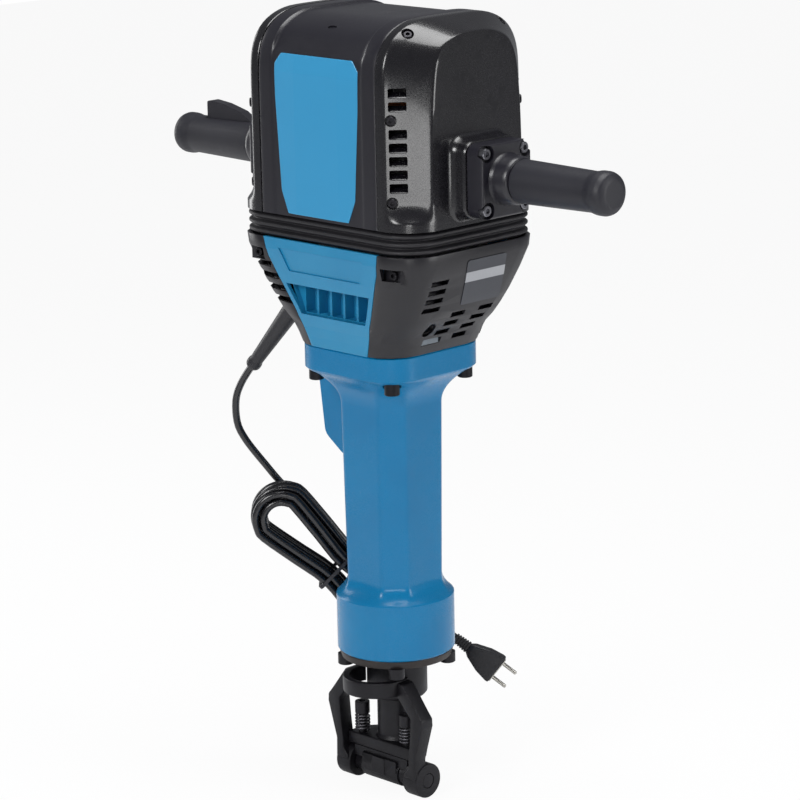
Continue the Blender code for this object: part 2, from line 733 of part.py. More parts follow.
def lower_shell():
    """The whole wall of the lower housing, before it is divided into covers."""
    low = FLANGE_TOP_Z + GAP
    heights = [low] + [LOWER_TOP_Z - drop for drop in (0.104, 0.093, 0.083, 0.073, 0.057, 0.034, 0.012, 0.0)]
    outer = []
    inner = []
    for height in heights:
        half_x, half_y = lower_section(height)
        outer.append(ring_at(height, half_x, half_y, LOWER_CORNER))
        inner.append(ring_at(height, half_x - LOWER_WALL, half_y - LOWER_WALL, LOWER_CORNER - LOWER_WALL))
    return loft(outer + list(reversed(inner)), closed_tube=True)


def seam_prism(grow, y_from, y_to):
    heights = [0.430, 0.449, 0.484, 0.516, 0.543, 0.580]
    right = [(seam_half(z) + grow, z) for z in heights]
    left = [(-x, z) for x, z in reversed(right)]
    return prism(right + left, y_from, y_to)


def front_cover_mesh():
    wall = combine(lower_shell(), seam_prism(0.0, -0.15, -0.02), "INTERSECT")
    half_top = seam_half(POCKET_TOP_Z)
    half_low = seam_half(POCKET_BOTTOM_Z)
    face_y = -lower_section(POCKET_BOTTOM_Z)[1]
    back_y = face_y + POCKET_DEPTH
    tray_out = prism([(half_top - 0.003, POCKET_TOP_Z + 0.004), (half_low - 0.004, POCKET_BOTTOM_Z - 0.004),
                      (-half_low + 0.004, POCKET_BOTTOM_Z - 0.004),
                      (-half_top + 0.003, POCKET_TOP_Z + 0.004)],
                     face_y + 0.002, back_y + 0.003)
    body = union(wall, tray_out)
    mouth = prism([(half_top - 0.006, POCKET_TOP_Z), (half_low - 0.006, POCKET_BOTTOM_Z),
                   (-half_low + 0.006, POCKET_BOTTOM_Z), (-half_top + 0.006, POCKET_TOP_Z)],
                  -0.15, face_y + POCKET_LIP)
    body = cut(body, mouth)
    cells = []
    span = 2 * (half_low - 0.006)
    cell = (span - POCKET_RIBS * POCKET_RIB_T) / (POCKET_RIBS + 1)
    for index in range(POCKET_RIBS + 1):
        left = -span / 2 + index * (cell + POCKET_RIB_T)
        cells.append(box((left, face_y + POCKET_LIP - 0.002, POCKET_BOTTOM_Z + 0.001),
                         (left + cell, back_y, POCKET_TOP_Z - 0.001)))
    body = cut(body, together(*cells))
    door_y = -lower_section(DOOR_BOTTOM_Z)[1]
    door = prism([(0.062, DOOR_TOP_Z), (0.052, DOOR_BOTTOM_Z), (-0.052, DOOR_BOTTOM_Z), (-0.062, DOOR_TOP_Z)],
                 -0.15, door_y + DOOR_DEPTH - 0.004)
    slope = (lower_section(DOOR_TOP_Z)[1] - lower_section(DOOR_BOTTOM_Z)[1]) / (DOOR_TOP_Z - DOOR_BOTTOM_Z)
    shear = Matrix.Identity(4)
    shear[1][2] = -slope
    shear[1][3] = slope * DOOR_BOTTOM_Z + 0.004
    door.transform(shear)
    return cut(body, door)


def slot_box(y_from, y_to, height):
    """A slot through the right-hand wall, open towards +X."""
    half_x = lower_section(height)[0]
    return box((half_x - 0.014, y_from, height - VENT_H / 2), (half_x + 0.014, y_to, height + VENT_H / 2))


def right_cover_cutters():
    upper = [slot_box(-0.060, -0.037, 0.533 - VENT_PITCH * n) for n in range(4)]
    middle = [slot_box(-0.014 - 0.004 * n, 0.006 - 0.004 * n, 0.492 - VENT_PITCH * n) for n in range(3)]
    rear = [slot_box(0.026 - 0.006 * n, 0.046 - 0.006 * n, 0.493 - VENT_PITCH * n) for n in range(4)]
    return upper + middle + rear


def lower_cover(side):
    shell = lower_shell()
    shell = cut(shell, seam_prism(SEAM, -0.15, 0.15))
    keep = box((0.0, -0.2, 0.3), (0.3, 0.2, 0.7)) if side > 0 else box((-0.3, -0.2, 0.3), (0.0, 0.2, 0.7))
    shell = combine(shell, keep, "INTERSECT")
    slots = right_cover_cutters()
    if side > 0:
        sight_x = lower_section(0.478)[0]
        sight = cylinder(SIGHT_HOLE_R, (sight_x - 0.02, -0.036, 0.478), (sight_x + 0.02, -0.036, 0.478), 16)
        window_x = lower_section(0.460)[0]
        window = box((window_x - 0.012, -0.036, 0.4595),
                     (window_x + 0.010, -0.036 + WINDOW_W, 0.4595 + WINDOW_H))
        shell = cut(shell, together(*slots), sight, window)
    else:
        shell = cut(shell, mirrored_x(together(*slots[:4])))
        front_slots = [box((-0.121 + 0.0075 * n, -0.110, 0.531 - 0.0125 * n),
                           (-0.078 + 0.0075 * n, -0.055, 0.531 + 0.0062 - 0.0125 * n)) for n in range(4)]
        shell = cut(shell, together(*front_slots))
        along = (GUARD_END - GUARD_START).normalized()
        gland = cylinder(GUARD_ROOT_R + GAP, GUARD_START - along * 0.02, GUARD_END, 20)
        shell = cut(shell, gland)
    seat = box((min(side * 0.086, side * 0.112), -0.14, 0.538),
               (max(side * 0.086, side * 0.112), -0.0885, 0.551))
    shell = cut(shell, seat)
    name = "lower_cover_right" if side > 0 else "lower_cover_left"
    return place(name, shell, BLACK)


def indicator_window():
    window_x = lower_section(0.460)[0]
    low = (window_x - 0.006, -0.036 + GAP, 0.4595 + GAP)
    high = (window_x - 0.001, -0.036 + WINDOW_W - GAP, 0.4595 + WINDOW_H - GAP)
    return place("indicator_window", box(low, high), CLEAR)


def bellows():
    outer = []
    inner = []
    low = LOWER_TOP_Z + GAP
    reach_x, reach_y = lower_section(LOWER_TOP_Z)
    corner = LOWER_CORNER + 0.002
    fold = BELLOWS_H / (2 * BELLOWS_RIBS)
    for index in range(2 * BELLOWS_RIBS + 1):
        inset = 0.0015 if index % 2 else 0.0015 + BELLOWS_DEPTH
        height = low + fold * index
        deep = inset + BELLOWS_T
        outer.append(ring_at(height, reach_x - inset, reach_y - inset, corner - inset))
        inner.append(ring_at(height, reach_x - deep, reach_y - deep, corner - deep))
    return place("bellows", loft(outer + list(reversed(inner)), closed_tube=True), RUBBER)


# ---------------------------------------------------------------- upper casing
def arch_spots():
    """Half width and height of the casing's rounded top, from the front shoulder to the crown."""
    return [(UPPER_HALF_Y - less, UPPER_TOP_Z - drop) for less, drop in (
        (0.0, 0.059), (0.002, 0.043), (0.008, 0.027), (0.0195, 0.013), (0.0365, 0.0035), (0.0565, 0.0))]


def band_outline(inset, bottom):
    """Arch of the centre band in the YZ plane, from the front foot over the top to the rear foot."""
    crown_y = arch_spots()[4][0]
    points = [(-UPPER_HALF_Y + inset, bottom)]
    for index, (half, height) in enumerate(arch_spots()):
        sink = (0.0, 0.6, 0.6, 1.0, 1.0, 1.0)[index] * inset
        points.append((-half + inset * min(1.0, half / crown_y), height - sink))
    return points + [(-y, z) for y, z in reversed(points)]


def upper_band():
    outer = band_outline(0.0, UPPER_BOTTOM_Z)
    inner = band_outline(BAND_T, UPPER_BOTTOM_Z - CUT_EXTRA)
    body = prism(outer, -BAND_HALF_X, BAND_HALF_X, "YZ")
    body = cut(body, prism(inner, -BAND_HALF_X - CUT_EXTRA, BAND_HALF_X + CUT_EXTRA, "YZ"))
    recess_outline = panel_outline(0.0012)
    recess = prism(recess_outline, -UPPER_HALF_Y - CUT_EXTRA, -UPPER_HALF_Y + PANEL_RECESS)
    groove_y = UPPER_HALF_Y - 0.0125
    groove = box((-0.066, -groove_y, UPPER_TOP_Z - 0.0015), (0.066, groove_y, UPPER_TOP_Z + CUT_EXTRA))
    eye = box((-0.010, -groove_y + 0.0125, UPPER_TOP_Z - 0.017),
              (0.010, -groove_y + 0.0205, UPPER_TOP_Z + CUT_EXTRA))
    body = cut(body, recess, mirrored_y(recess), groove, eye)
    for sign in (1, -1):
        boss = box((-0.014, sign * (GUIDE_Y - 0.014), SUSPENSION_BOSS_Z),
                   (0.014, sign * (UPPER_HALF_Y - 0.004), SUSPENSION_BOSS_Z + SUSPENSION_BOSS_H))
        body = union(body, boss)
        hole = cylinder(GUIDE_R + GAP, (0, sign * GUIDE_Y, SUSPENSION_BOSS_Z - CUT_EXTRA),
                        (0, sign * GUIDE_Y, SUSPENSION_BOSS_Z + SUSPENSION_BOSS_H + CUT_EXTRA), 16)
        body = cut(body, hole)
    return place("upper_band", body, BLACK)


def panel_outline(grow):
    top = PANEL_TOP_Z + grow
    half = PANEL_HALF_TOP + grow
    low = PANEL_HALF_LOW + grow
    bottom = UPPER_BOTTOM_Z + 0.003 - grow
    right = [(0.044 + grow, bottom), (low, bottom + 0.024), (half, top - 0.011), (half - 0.004, top)]
    return right + [(-x, z) for x, z in reversed(right)]


def panel_mesh():
    """The front panel: a flat middle with two facets that fall back to its sides."""
    back_y = -UPPER_HALF_Y + PANEL_RECESS - GAP
    plate = prism(panel_outline(0.0), back_y - PANEL_T, back_y)
    for sign in (1, -1):
        facet = prism([(sign * 0.030, back_y - PANEL_T - 0.0001), (sign * 0.070, back_y - PANEL_T + 0.0018),
                       (sign * 0.070, back_y - PANEL_T - CUT_EXTRA),
                       (sign * 0.030, back_y - PANEL_T - CUT_EXTRA)],
                      0.5, 0.9, "XY")
        plate = cut(plate, facet)
    top_slope = prism([(back_y - PANEL_T - CUT_EXTRA, 0.740), (back_y - PANEL_T - 0.0001, 0.740),
                       (back_y - PANEL_T + 0.0022, 0.770), (back_y - PANEL_T - CUT_EXTRA, 0.770)],
                      -0.1, 0.1, "YZ")
    return cut(plate, top_slope)


def side_ring(height, x_in, x_out, y_front, y_pad, x_front):
    """Section of a side cover at a height, closed across the seam with the centre band."""
    points = [(x_in, -y_front), (x_front - 0.004, -y_front), (x_front + 0.003, -y_front + 0.003),
              (x_out - 0.010, -y_pad - 0.008), (x_out - 0.002, -y_pad), (x_out, -y_pad + 0.008)]
    points += [(x, -y) for x, y in reversed(points)]
    return [(x, y, height) for x, y in points]


def side_block(inset):
    """The side cover as a solid block, its faces moved in by the inset."""
    stations = [(UPPER_BOTTOM_Z - 0.010, UPPER_HALF_Y, PAD_X - 0.001, PAD_HALF_Y - 0.002, SIDE_FRONT_X),
                (UPPER_BOTTOM_Z + 0.051, UPPER_HALF_Y, PAD_X, PAD_HALF_Y, SIDE_FRONT_X)]
    # how far the pad's reach, the pad's edge and the start of the slope draw in towards the crown
    draws = [(0.0, 0.0, 0.0), (0.0, 0.002, 0.0), (0.001, 0.0075, 0.0005), (0.004, 0.0165, 0.001),
             (0.011, 0.0275, 0.0025), (0.022, 0.0415, 0.005)]
    for (front, height), (less, narrow, back) in zip(arch_spots(), draws):
        stations.append((height, front, PAD_X - less, PAD_HALF_Y - narrow, SIDE_FRONT_X - back))
    shoulder = UPPER_TOP_Z - 0.045
    rings = []
    for height, front, reach, pad, slope in stations:
        low = height - (0.010 if inset and height < UPPER_BOTTOM_Z else inset * (height > shoulder))
        rings.append(side_ring(low, BAND_HALF_X - 0.010 - 2 * inset, reach - inset, front - inset,
                               pad - 0.7 * inset, slope - 0.3 * inset))
    return loft(rings)


def bracket_land(inset):
    """Raised land under a handle bracket, filleted into the pad; the inset makes its hollow."""
    rings = []
    for x, wider in ((PAD_X - 0.004, 0.007), (PAD_X + 0.001, 0.0055), (PAD_X + 0.004, 0.0025),
                     (PAD_X + 0.008, 0.001),
                     (LAND_X, 0.0)):
        grow = (0.0 if inset else wider) + LAND_EDGE - inset
        section = rounded_section(BRACKET_HALF_Y + grow, BRACKET_H / 2 + grow, 0.012 + grow)
        rings.append([(x - inset, y, BRACKET_MIDDLE_Z + z) for y, z in section])
    return loft(rings)


def side_foot(inset):
    """Rounded foot of the casing over the bellows; above it the slopes are cut back."""
    reach_x = PAD_X - 0.0005 - inset
    reach_y = UPPER_HALF_Y - inset
    low = UPPER_BOTTOM_Z - (CUT_EXTRA if inset else 0.0)
    corner = FOOT_CORNER - inset
    rings = [ring_at(low, reach_x, reach_y, corner),
             ring_at(UPPER_BOTTOM_Z + FOOT_H, reach_x, reach_y, corner),
             ring_at(UPPER_BOTTOM_Z + FOOT_H + 0.006, reach_x - 0.0005, reach_y - 0.0005, corner, 0.35),
             ring_at(UPPER_BOTTOM_Z + FOOT_H + 0.012, reach_x - 0.001, reach_y - 0.001, corner - 0.004, 0.0)]
    return loft(rings)


def side_cover_mesh():
    """Right-hand side cover: an outer block hollowed by a smaller one and opened below and at the seam."""
    trim = box((BAND_HALF_X - 0.30, -0.2, 0.5), (BAND_HALF_X + SEAM, 0.2, 0.9))
    floor = box((0.0, -0.2, 0.4), (0.3, 0.2, UPPER_BOTTOM_Z))
    body = union(side_block(0.0), side_foot(0.0), bracket_land(0.0))
    return cut(body, trim, floor, side_block(SHELL_T), side_foot(SHELL_T), bracket_land(SHELL_T))


def side_vent_cutters():
    """Slots in the slope between the front strip and the pad, upper pair and lower row."""
    slope = math.atan2(PAD_HALF_Y - UPPER_HALF_Y + 0.002, PAD_X - SIDE_FRONT_X)
    centre_x = SIDE_FRONT_X + 0.010
    centre_y = -UPPER_HALF_Y + 0.009
    made = []
    for index in range(SIDE_VENTS):
        drop = SIDE_VENT_PITCH * index + (0.014 if index > 1 else 0.0)
        one = box((-0.0085, -0.012, -SIDE_VENT_H / 2), (0.0085, 0.012, SIDE_VENT_H / 2))
        one.transform(Matrix.Rotation(-slope, 4, "Z"))
        made.append(moved(one, (centre_x, centre_y, SIDE_VENT_TOP_Z - drop)))
    return together(*made)


def side_cover():
    mesh = side_cover_mesh()
    vents = side_vent_cutters()
    return cut(mesh, vents, mirrored_y(vents))


# ---------------------------------------------------------------- handles
BRACKET_MIDDLE_Z = BRACKET_BOTTOM_Z + BRACKET_H / 2


def bracket_bolt_places():
    return [(y, BRACKET_MIDDLE_Z + dz) for y in (-BRACKET_BOLT_Y, BRACKET_BOLT_Y)
            for dz in (-BRACKET_BOLT_DZ, BRACKET_BOLT_DZ)]


def bracket_mesh():
    """Right-hand handle bracket: a thick plate on the land, with a neck that grips the handle tube."""
    low_x = LAND_X + GAP
    face_x = low_x + BRACKET_PLATE_T
    plate_rings = []
    for x, shrink in ((low_x, 0.0), (face_x - 0.0015, 0.0), (face_x, 0.0015)):
        section = rounded_section(BRACKET_HALF_Y - shrink, BRACKET_H / 2 - shrink, 0.010)
        plate_rings.append([(x, y, BRACKET_MIDDLE_Z + z) for y, z in section])
    neck = along_x([(0.0, low_x + BRACKET_T), (TUBE_R + 0.0070, low_x + BRACKET_T),
                    (TUBE_R + 0.0085, low_x + BRACKET_T - 0.004), (TUBE_R + 0.0095, face_x + 0.003),
                    (TUBE_R + 0.012, face_x - 0.002), (0.0, face_x - 0.002)], HANDLE_Z, 24)
    body = union(loft(plate_rings), neck)
    bore = cylinder(TUBE_R + GAP, (low_x + 0.005, 0, HANDLE_Z), (low_x + BRACKET_T + CUT_EXTRA, 0, HANDLE_Z))
    seats = [cylinder(BRACKET_BOLT_HEAD_R + 0.0015, (face_x - 0.007, y, z), (face_x + 0.04, y, z), 12)
             for y, z in bracket_bolt_places()]
    return cut(body, bore, together(*seats))


def handle_tube_mesh():
    start = LAND_X + GAP + 0.0055
    end = HANDLE_HALF_SPAN - 0.008
    return along_x([(TUBE_R, end), (TUBE_R, start), (TUBE_R - TUBE_T, start), (TUBE_R - TUBE_T, end)],
                   HANDLE_Z, ROUND_STEPS, closed=True)


def grip_mesh():
    start = LAND_X + GAP + BRACKET_T + GAP
    end = HANDLE_HALF_SPAN
    bore = TUBE_R + GAP
    profile = [(0.0, end), (GRIP_R - 0.008, end), (GRIP_R - 0.002, end - 0.003), (GRIP_R, end - 0.008),
               (GRIP_R, end - 0.016), (GRIP_WAIST_R, end - 0.024), (GRIP_WAIST_R + 0.0005, start + 0.070),
               (GRIP_R, start + 0.012), (GRIP_R, start), (bore, start), (bore, end - 0.0075),
               (0.0, end - 0.0075)]
    return along_x(profile, HANDLE_Z)


def lever_slot(grow):
    """The space of the trigger lever and its travel, on the left handle."""
    return box((-LEVER_TIP_X - 0.003, -LEVER_HALF_T - grow, HANDLE_Z + 0.0012),
               (-LEVER_ROOT_X + 0.008, LEVER_HALF_T + grow, HANDLE_Z + 0.06))


def handles():
    tube = handle_tube_mesh()
    left_tube = cut(mirrored_x(tube), lever_slot(0.001))
    place("handle_tube_right", tube, STEEL)
    place("handle_tube_left", left_tube, STEEL)
    place("grip_right", grip_mesh(), RUBBER)
    pin_hole = cylinder(0.0020 + GAP, (-LEVER_ROOT_X, -0.03, LEVER_PIN_Z),
                        (-LEVER_ROOT_X, 0.03, LEVER_PIN_Z), 12)
    place("grip_left", cut(mirrored_x(grip_mesh()), lever_slot(0.0006), pin_hole), RUBBER)


LEVER_PIN_Z = HANDLE_Z + 0.0175


def trigger_lever():
    """Wedge-shaped lever on top of the left grip, with its hinge pin."""
    outline = [(-LEVER_TIP_X, LEVER_BOTTOM_Z), (-LEVER_ROOT_X + 0.004, LEVER_BOTTOM_Z),
               (-LEVER_ROOT_X + 0.004, LEVER_PIN_Z + 0.004), (-LEVER_ROOT_X - 0.012, LEVER_ROOT_Z),
               (-LEVER_TIP_X + 0.006, LEVER_TIP_Z), (-LEVER_TIP_X, LEVER_TIP_Z - 0.003)]
    blade = prism(outline, -LEVER_HALF_T, LEVER_HALF_T)
    pin = cylinder(0.0020, (-LEVER_ROOT_X, -0.0105, LEVER_PIN_Z), (-LEVER_ROOT_X, 0.0105, LEVER_PIN_Z), 12)
    return place("trigger_lever", union(blade, pin), BLACK, (-LEVER_ROOT_X, 0.0, LEVER_PIN_Z))


def trigger_switch():
    """Micro switch inside the left handle tube, under the lever."""
    body = box((-0.262, -0.005, HANDLE_Z - 0.0116), (-0.236, 0.005, HANDLE_Z + 0.0008), 0.0005)
    return place("trigger_switch", body, BLACK)


# ---------------------------------------------------------------- suspension and drive train
def suspension_springs():
    """Springs round the guide rods, hidden in the casing, as plain tubes."""
    one = tube_ring(SUSPENSION_SPRING_R, GUIDE_R + 0.001, CASE_LOW_TOP_Z + GAP, SUSPENSION_BOSS_Z - GAP, 12)
    place_copies("suspension_spring", one, STEEL, [(0.0, -GUIDE_Y, 0.0), (0.0, GUIDE_Y, 0.0)])


def case_profile(half, low, high, shoulder):
    return [(-half, low), (half, low), (half, shoulder), (0.030, high), (-0.030, high), (-half, shoulder)]


def crank_case():
    low = FLANGE_TOP_Z + GAP
    body = box((-CASE_LEFT_X, -CASE_HALF_Y, low), (CASE_RIGHT_X, CASE_HALF_Y, CASE_LOW_TOP_Z))
    upper = prism(case_profile(CASE_HALF_Y, CASE_LOW_TOP_Z - 0.01, CASE_TOP_Z, CASE_SHOULDER_Z), 0.0215,
                  CASE_RIGHT_X, "YZ")
    body = union(body, upper)
    for sign in (1, -1):
        lug = box((-0.014, sign * 0.050, GUIDE_BOTTOM_Z - 0.004),
                  (0.014, sign * (GUIDE_Y + 0.012), CASE_LOW_TOP_Z))
        body = union(body, lug)
    crank_room = box((-0.024, -0.046, 0.458), (0.0205, 0.046, 0.586))
    gear_room = together(
        cylinder(CRANK_TEETH * GEAR_MODULE_LOW / 2 + 0.004, (GEAR_X - 0.002, 0, CRANK_Z),
                 (CASE_RIGHT_X + CUT_EXTRA, 0, CRANK_Z)))
    pinion_room = cylinder(0.019, (GEAR_X - 0.002, 0, LAYSHAFT_Z),
                           (CASE_RIGHT_X + CUT_EXTRA, 0, LAYSHAFT_Z), 24)
    shaft_room = cylinder(0.0155, (GEAR_X - 0.002, 0, MOTOR_Z), (CASE_RIGHT_X + CUT_EXTRA, 0, MOTOR_Z), 24)
    mouth = cylinder(CYLINDER_R + GAP, (0, 0, low - CUT_EXTRA), (0, 0, 0.4715), INNER_STEPS)
    piston_way = cylinder(CYLINDER_BORE_R + GAP, (0, 0, 0.466), (0, 0, 0.496), 24)
    body = cut(body, crank_room, gear_room, pinion_room, shaft_room, mouth, piston_way)
    for axis_z in (CRANK_Z, LAYSHAFT_Z, MOTOR_Z):
        seat = cylinder(bearing_r(axis_z) + GAP, (WALL_BEARING_X - GAP, 0, axis_z), (GEAR_X, 0, axis_z), 24)
        passage = cylinder(SHAFT_R + 0.0035, (0.0, 0, axis_z), (GEAR_X, 0, axis_z), 16)
        body = cut(body, seat)
        if axis_z != LAYSHAFT_Z:
            body = cut(body, passage)
    rods = [cylinder(GUIDE_R, (0, sign * GUIDE_Y, GUIDE_BOTTOM_Z), (0, sign * GUIDE_Y, GUIDE_TOP_Z), 16)
            for sign in (1, -1)]
    return place("crank_case", union(body, *rods), CAST)


def bearing_r(axis_z):
    """Radius of the seat round a shaft: the crankshaft has bearings, the others run in plain bores."""
    return 0.015 if axis_z == CRANK_Z else SHAFT_R


def gear_cover():
    low_x = CASE_RIGHT_X + GAP
    outline = case_profile(CASE_HALF_Y - 0.002, CRANK_Z - 0.060, CASE_TOP_Z - 0.004, CASE_SHOULDER_Z)
    body = prism(outline, low_x, low_x + COVER_T, "YZ")
    gear_room = cylinder(0.0435, (low_x - CUT_EXTRA, 0, LAYSHAFT_Z), (COVER_BEARING_X - 0.002, 0, LAYSHAFT_Z))
    pinion_room = cylinder(0.0140, (low_x - CUT_EXTRA, 0, MOTOR_Z), (COVER_BEARING_X + 0.004, 0, MOTOR_Z), 24)
    body = cut(body, gear_room, pinion_room)
    for axis_z in (CRANK_Z, LAYSHAFT_Z):
        seat = cylinder(bearing_r(axis_z) + GAP, (low_x - CUT_EXTRA, 0, axis_z),
                        (COVER_BEARING_X + BEARING_W + GAP, 0, axis_z), 24)
        body = cut(body, seat)
    return place("gear_cover", body, CAST)


def bearing(axis_z, start_x, shaft_r):
    return along_x([(bearing_r(axis_z), start_x + BEARING_W), (bearing_r(axis_z), start_x),
                    (shaft_r + GAP, start_x), (shaft_r + GAP, start_x + BEARING_W)], axis_z, 16, closed=True)


def shaft_bearings():
    place("crank_bearing_1", bearing(CRANK_Z, WALL_BEARING_X, 0.009), STEEL)
    place("crank_bearing_2", bearing(CRANK_Z, COVER_BEARING_X, 0.008), STEEL)


def crankshaft():
    """Crank disc, shaft and the large gear, turning as one forging."""
    disc_x = ROD_T / 2 + 0.0015
    body = along_x([(0.0, COVER_BEARING_X + BEARING_W), (0.008, COVER_BEARING_X + BEARING_W),
                    (0.008, GEAR_X + GEAR_W),
                    (0.009, GEAR_X + GEAR_W), (0.009, 0.0195), (0.032, 0.0195), (0.032, disc_x),
                    (0.0, disc_x)],
                   CRANK_Z)
    wheel = gear(CRANK_TEETH, GEAR_MODULE_LOW, GEAR_X, GEAR_W, CRANK_Z)
    return place("crankshaft", union(body, wheel), STEEL, (0.0, 0.0, CRANK_Z))


def layshaft():
    body = along_x([(0.0, COVER_BEARING_X + BEARING_W), (SHAFT_R, COVER_BEARING_X + BEARING_W),
                    (SHAFT_R, WALL_BEARING_X),
                    (0.0, WALL_BEARING_X)], LAYSHAFT_Z, 20)
    pinion = gear(LAY_PINION_TEETH, GEAR_MODULE_LOW, GEAR_X, GEAR_W, LAYSHAFT_Z, 0.5 + LAY_PINION_TEETH / 2)
    wheel = gear(LAY_GEAR_TEETH, GEAR_MODULE_HIGH, HIGH_GEAR_X, HIGH_GEAR_W, LAYSHAFT_Z)
    return place("layshaft", union(body, pinion, wheel), STEEL, (0.0, 0.0, LAYSHAFT_Z))


def motor_pieces():
    axis = (0.0, 0.0, MOTOR_Z)
    end = HIGH_GEAR_X + HIGH_GEAR_W + 0.004
    shaft = along_x([(0.0, end), (0.0052, end), (0.0052, 0.036), (SHAFT_R, 0.036),
                     (SHAFT_R, MOTOR_LEFT_X + 0.003),
                     (0.0, MOTOR_LEFT_X + 0.003)], MOTOR_Z, 12)
    pinion = gear(MOTOR_TEETH, GEAR_MODULE_HIGH, HIGH_GEAR_X, HIGH_GEAR_W, MOTOR_Z, 0.5 + MOTOR_TEETH / 2)
    core_end = STATOR_X + STATOR_L - 0.004
    core = cylinder(ROTOR_R, (STATOR_X + 0.004, 0, MOTOR_Z), (core_end, 0, MOTOR_Z), INNER_STEPS)
    commutator = cylinder(0.016, (STATOR_X - 0.026, 0, MOTOR_Z), (STATOR_X - 0.006, 0, MOTOR_Z), 16)
    place("armature", union(shaft, pinion, core, commutator), COPPER, axis)
    bore = SHAFT_R + GAP
    hub = along_x([(0.012, 0.018), (0.012, 0.008), (bore, 0.008), (bore, 0.018)], MOTOR_Z, 16, closed=True)
    disc = along_x([(0.036, 0.0105), (0.036, 0.0088), (0.010, 0.0088), (0.010, 0.0105)], MOTOR_Z, 16,
                   closed=True)
    fan = union(hub, disc)
    blades = []
    for index in range(7):
        blade = box((0.0095, -0.0008, 0.0105), (0.017, 0.0008, 0.0355))
        turn = Matrix.Rotation(2 * math.pi * (index + 0.3) / 7, 4, "X")
        blades.append(moved(blade, (0, 0, MOTOR_Z), turn))
    place("cooling_fan", union(fan, together(*blades)), BLACK, axis)
    stator_end = STATOR_X + STATOR_L
    ring = along_x([(STATOR_R, stator_end), (STATOR_R, STATOR_X), (ROTOR_R + 0.0012, STATOR_X),
                    (ROTOR_R + 0.0012, stator_end)],
                   MOTOR_Z, INNER_STEPS, closed=True)
    place("stator", ring, COPPER)
    wall = STATOR_R + GAP
    out = wall + MOTOR_WALL
    frame = along_x([(out, MOTOR_RIGHT_X), (out, MOTOR_LEFT_X + 0.010), (0.040, MOTOR_LEFT_X),
                     (0.010, MOTOR_LEFT_X),
                     (SHAFT_R + GAP, MOTOR_LEFT_X + 0.002), (SHAFT_R + GAP, MOTOR_LEFT_X + 0.014),
                     (wall - 0.004, MOTOR_LEFT_X + 0.014), (wall, MOTOR_LEFT_X + 0.018),
                     (wall, MOTOR_RIGHT_X)],
                    MOTOR_Z, INNER_STEPS, closed=True)
    windows = [box((0.000, -0.07, MOTOR_Z - 0.012), (0.014, 0.07, MOTOR_Z + 0.012)),
               box((STATOR_X - 0.026, -0.07, MOTOR_Z - 0.012), (STATOR_X - 0.010, 0.07, MOTOR_Z + 0.012))]
    frame = cut(frame, *windows)
    for sign in (-1, 1):
        low_y, high_y = sorted((sign * 0.0165, sign * 0.050))
        frame = union(frame, box((STATOR_X - 0.022, low_y, MOTOR_Z - 0.014),
                                 (STATOR_X - 0.012, high_y, MOTOR_Z + 0.014)))
    place("motor_housing", frame, BLACK)


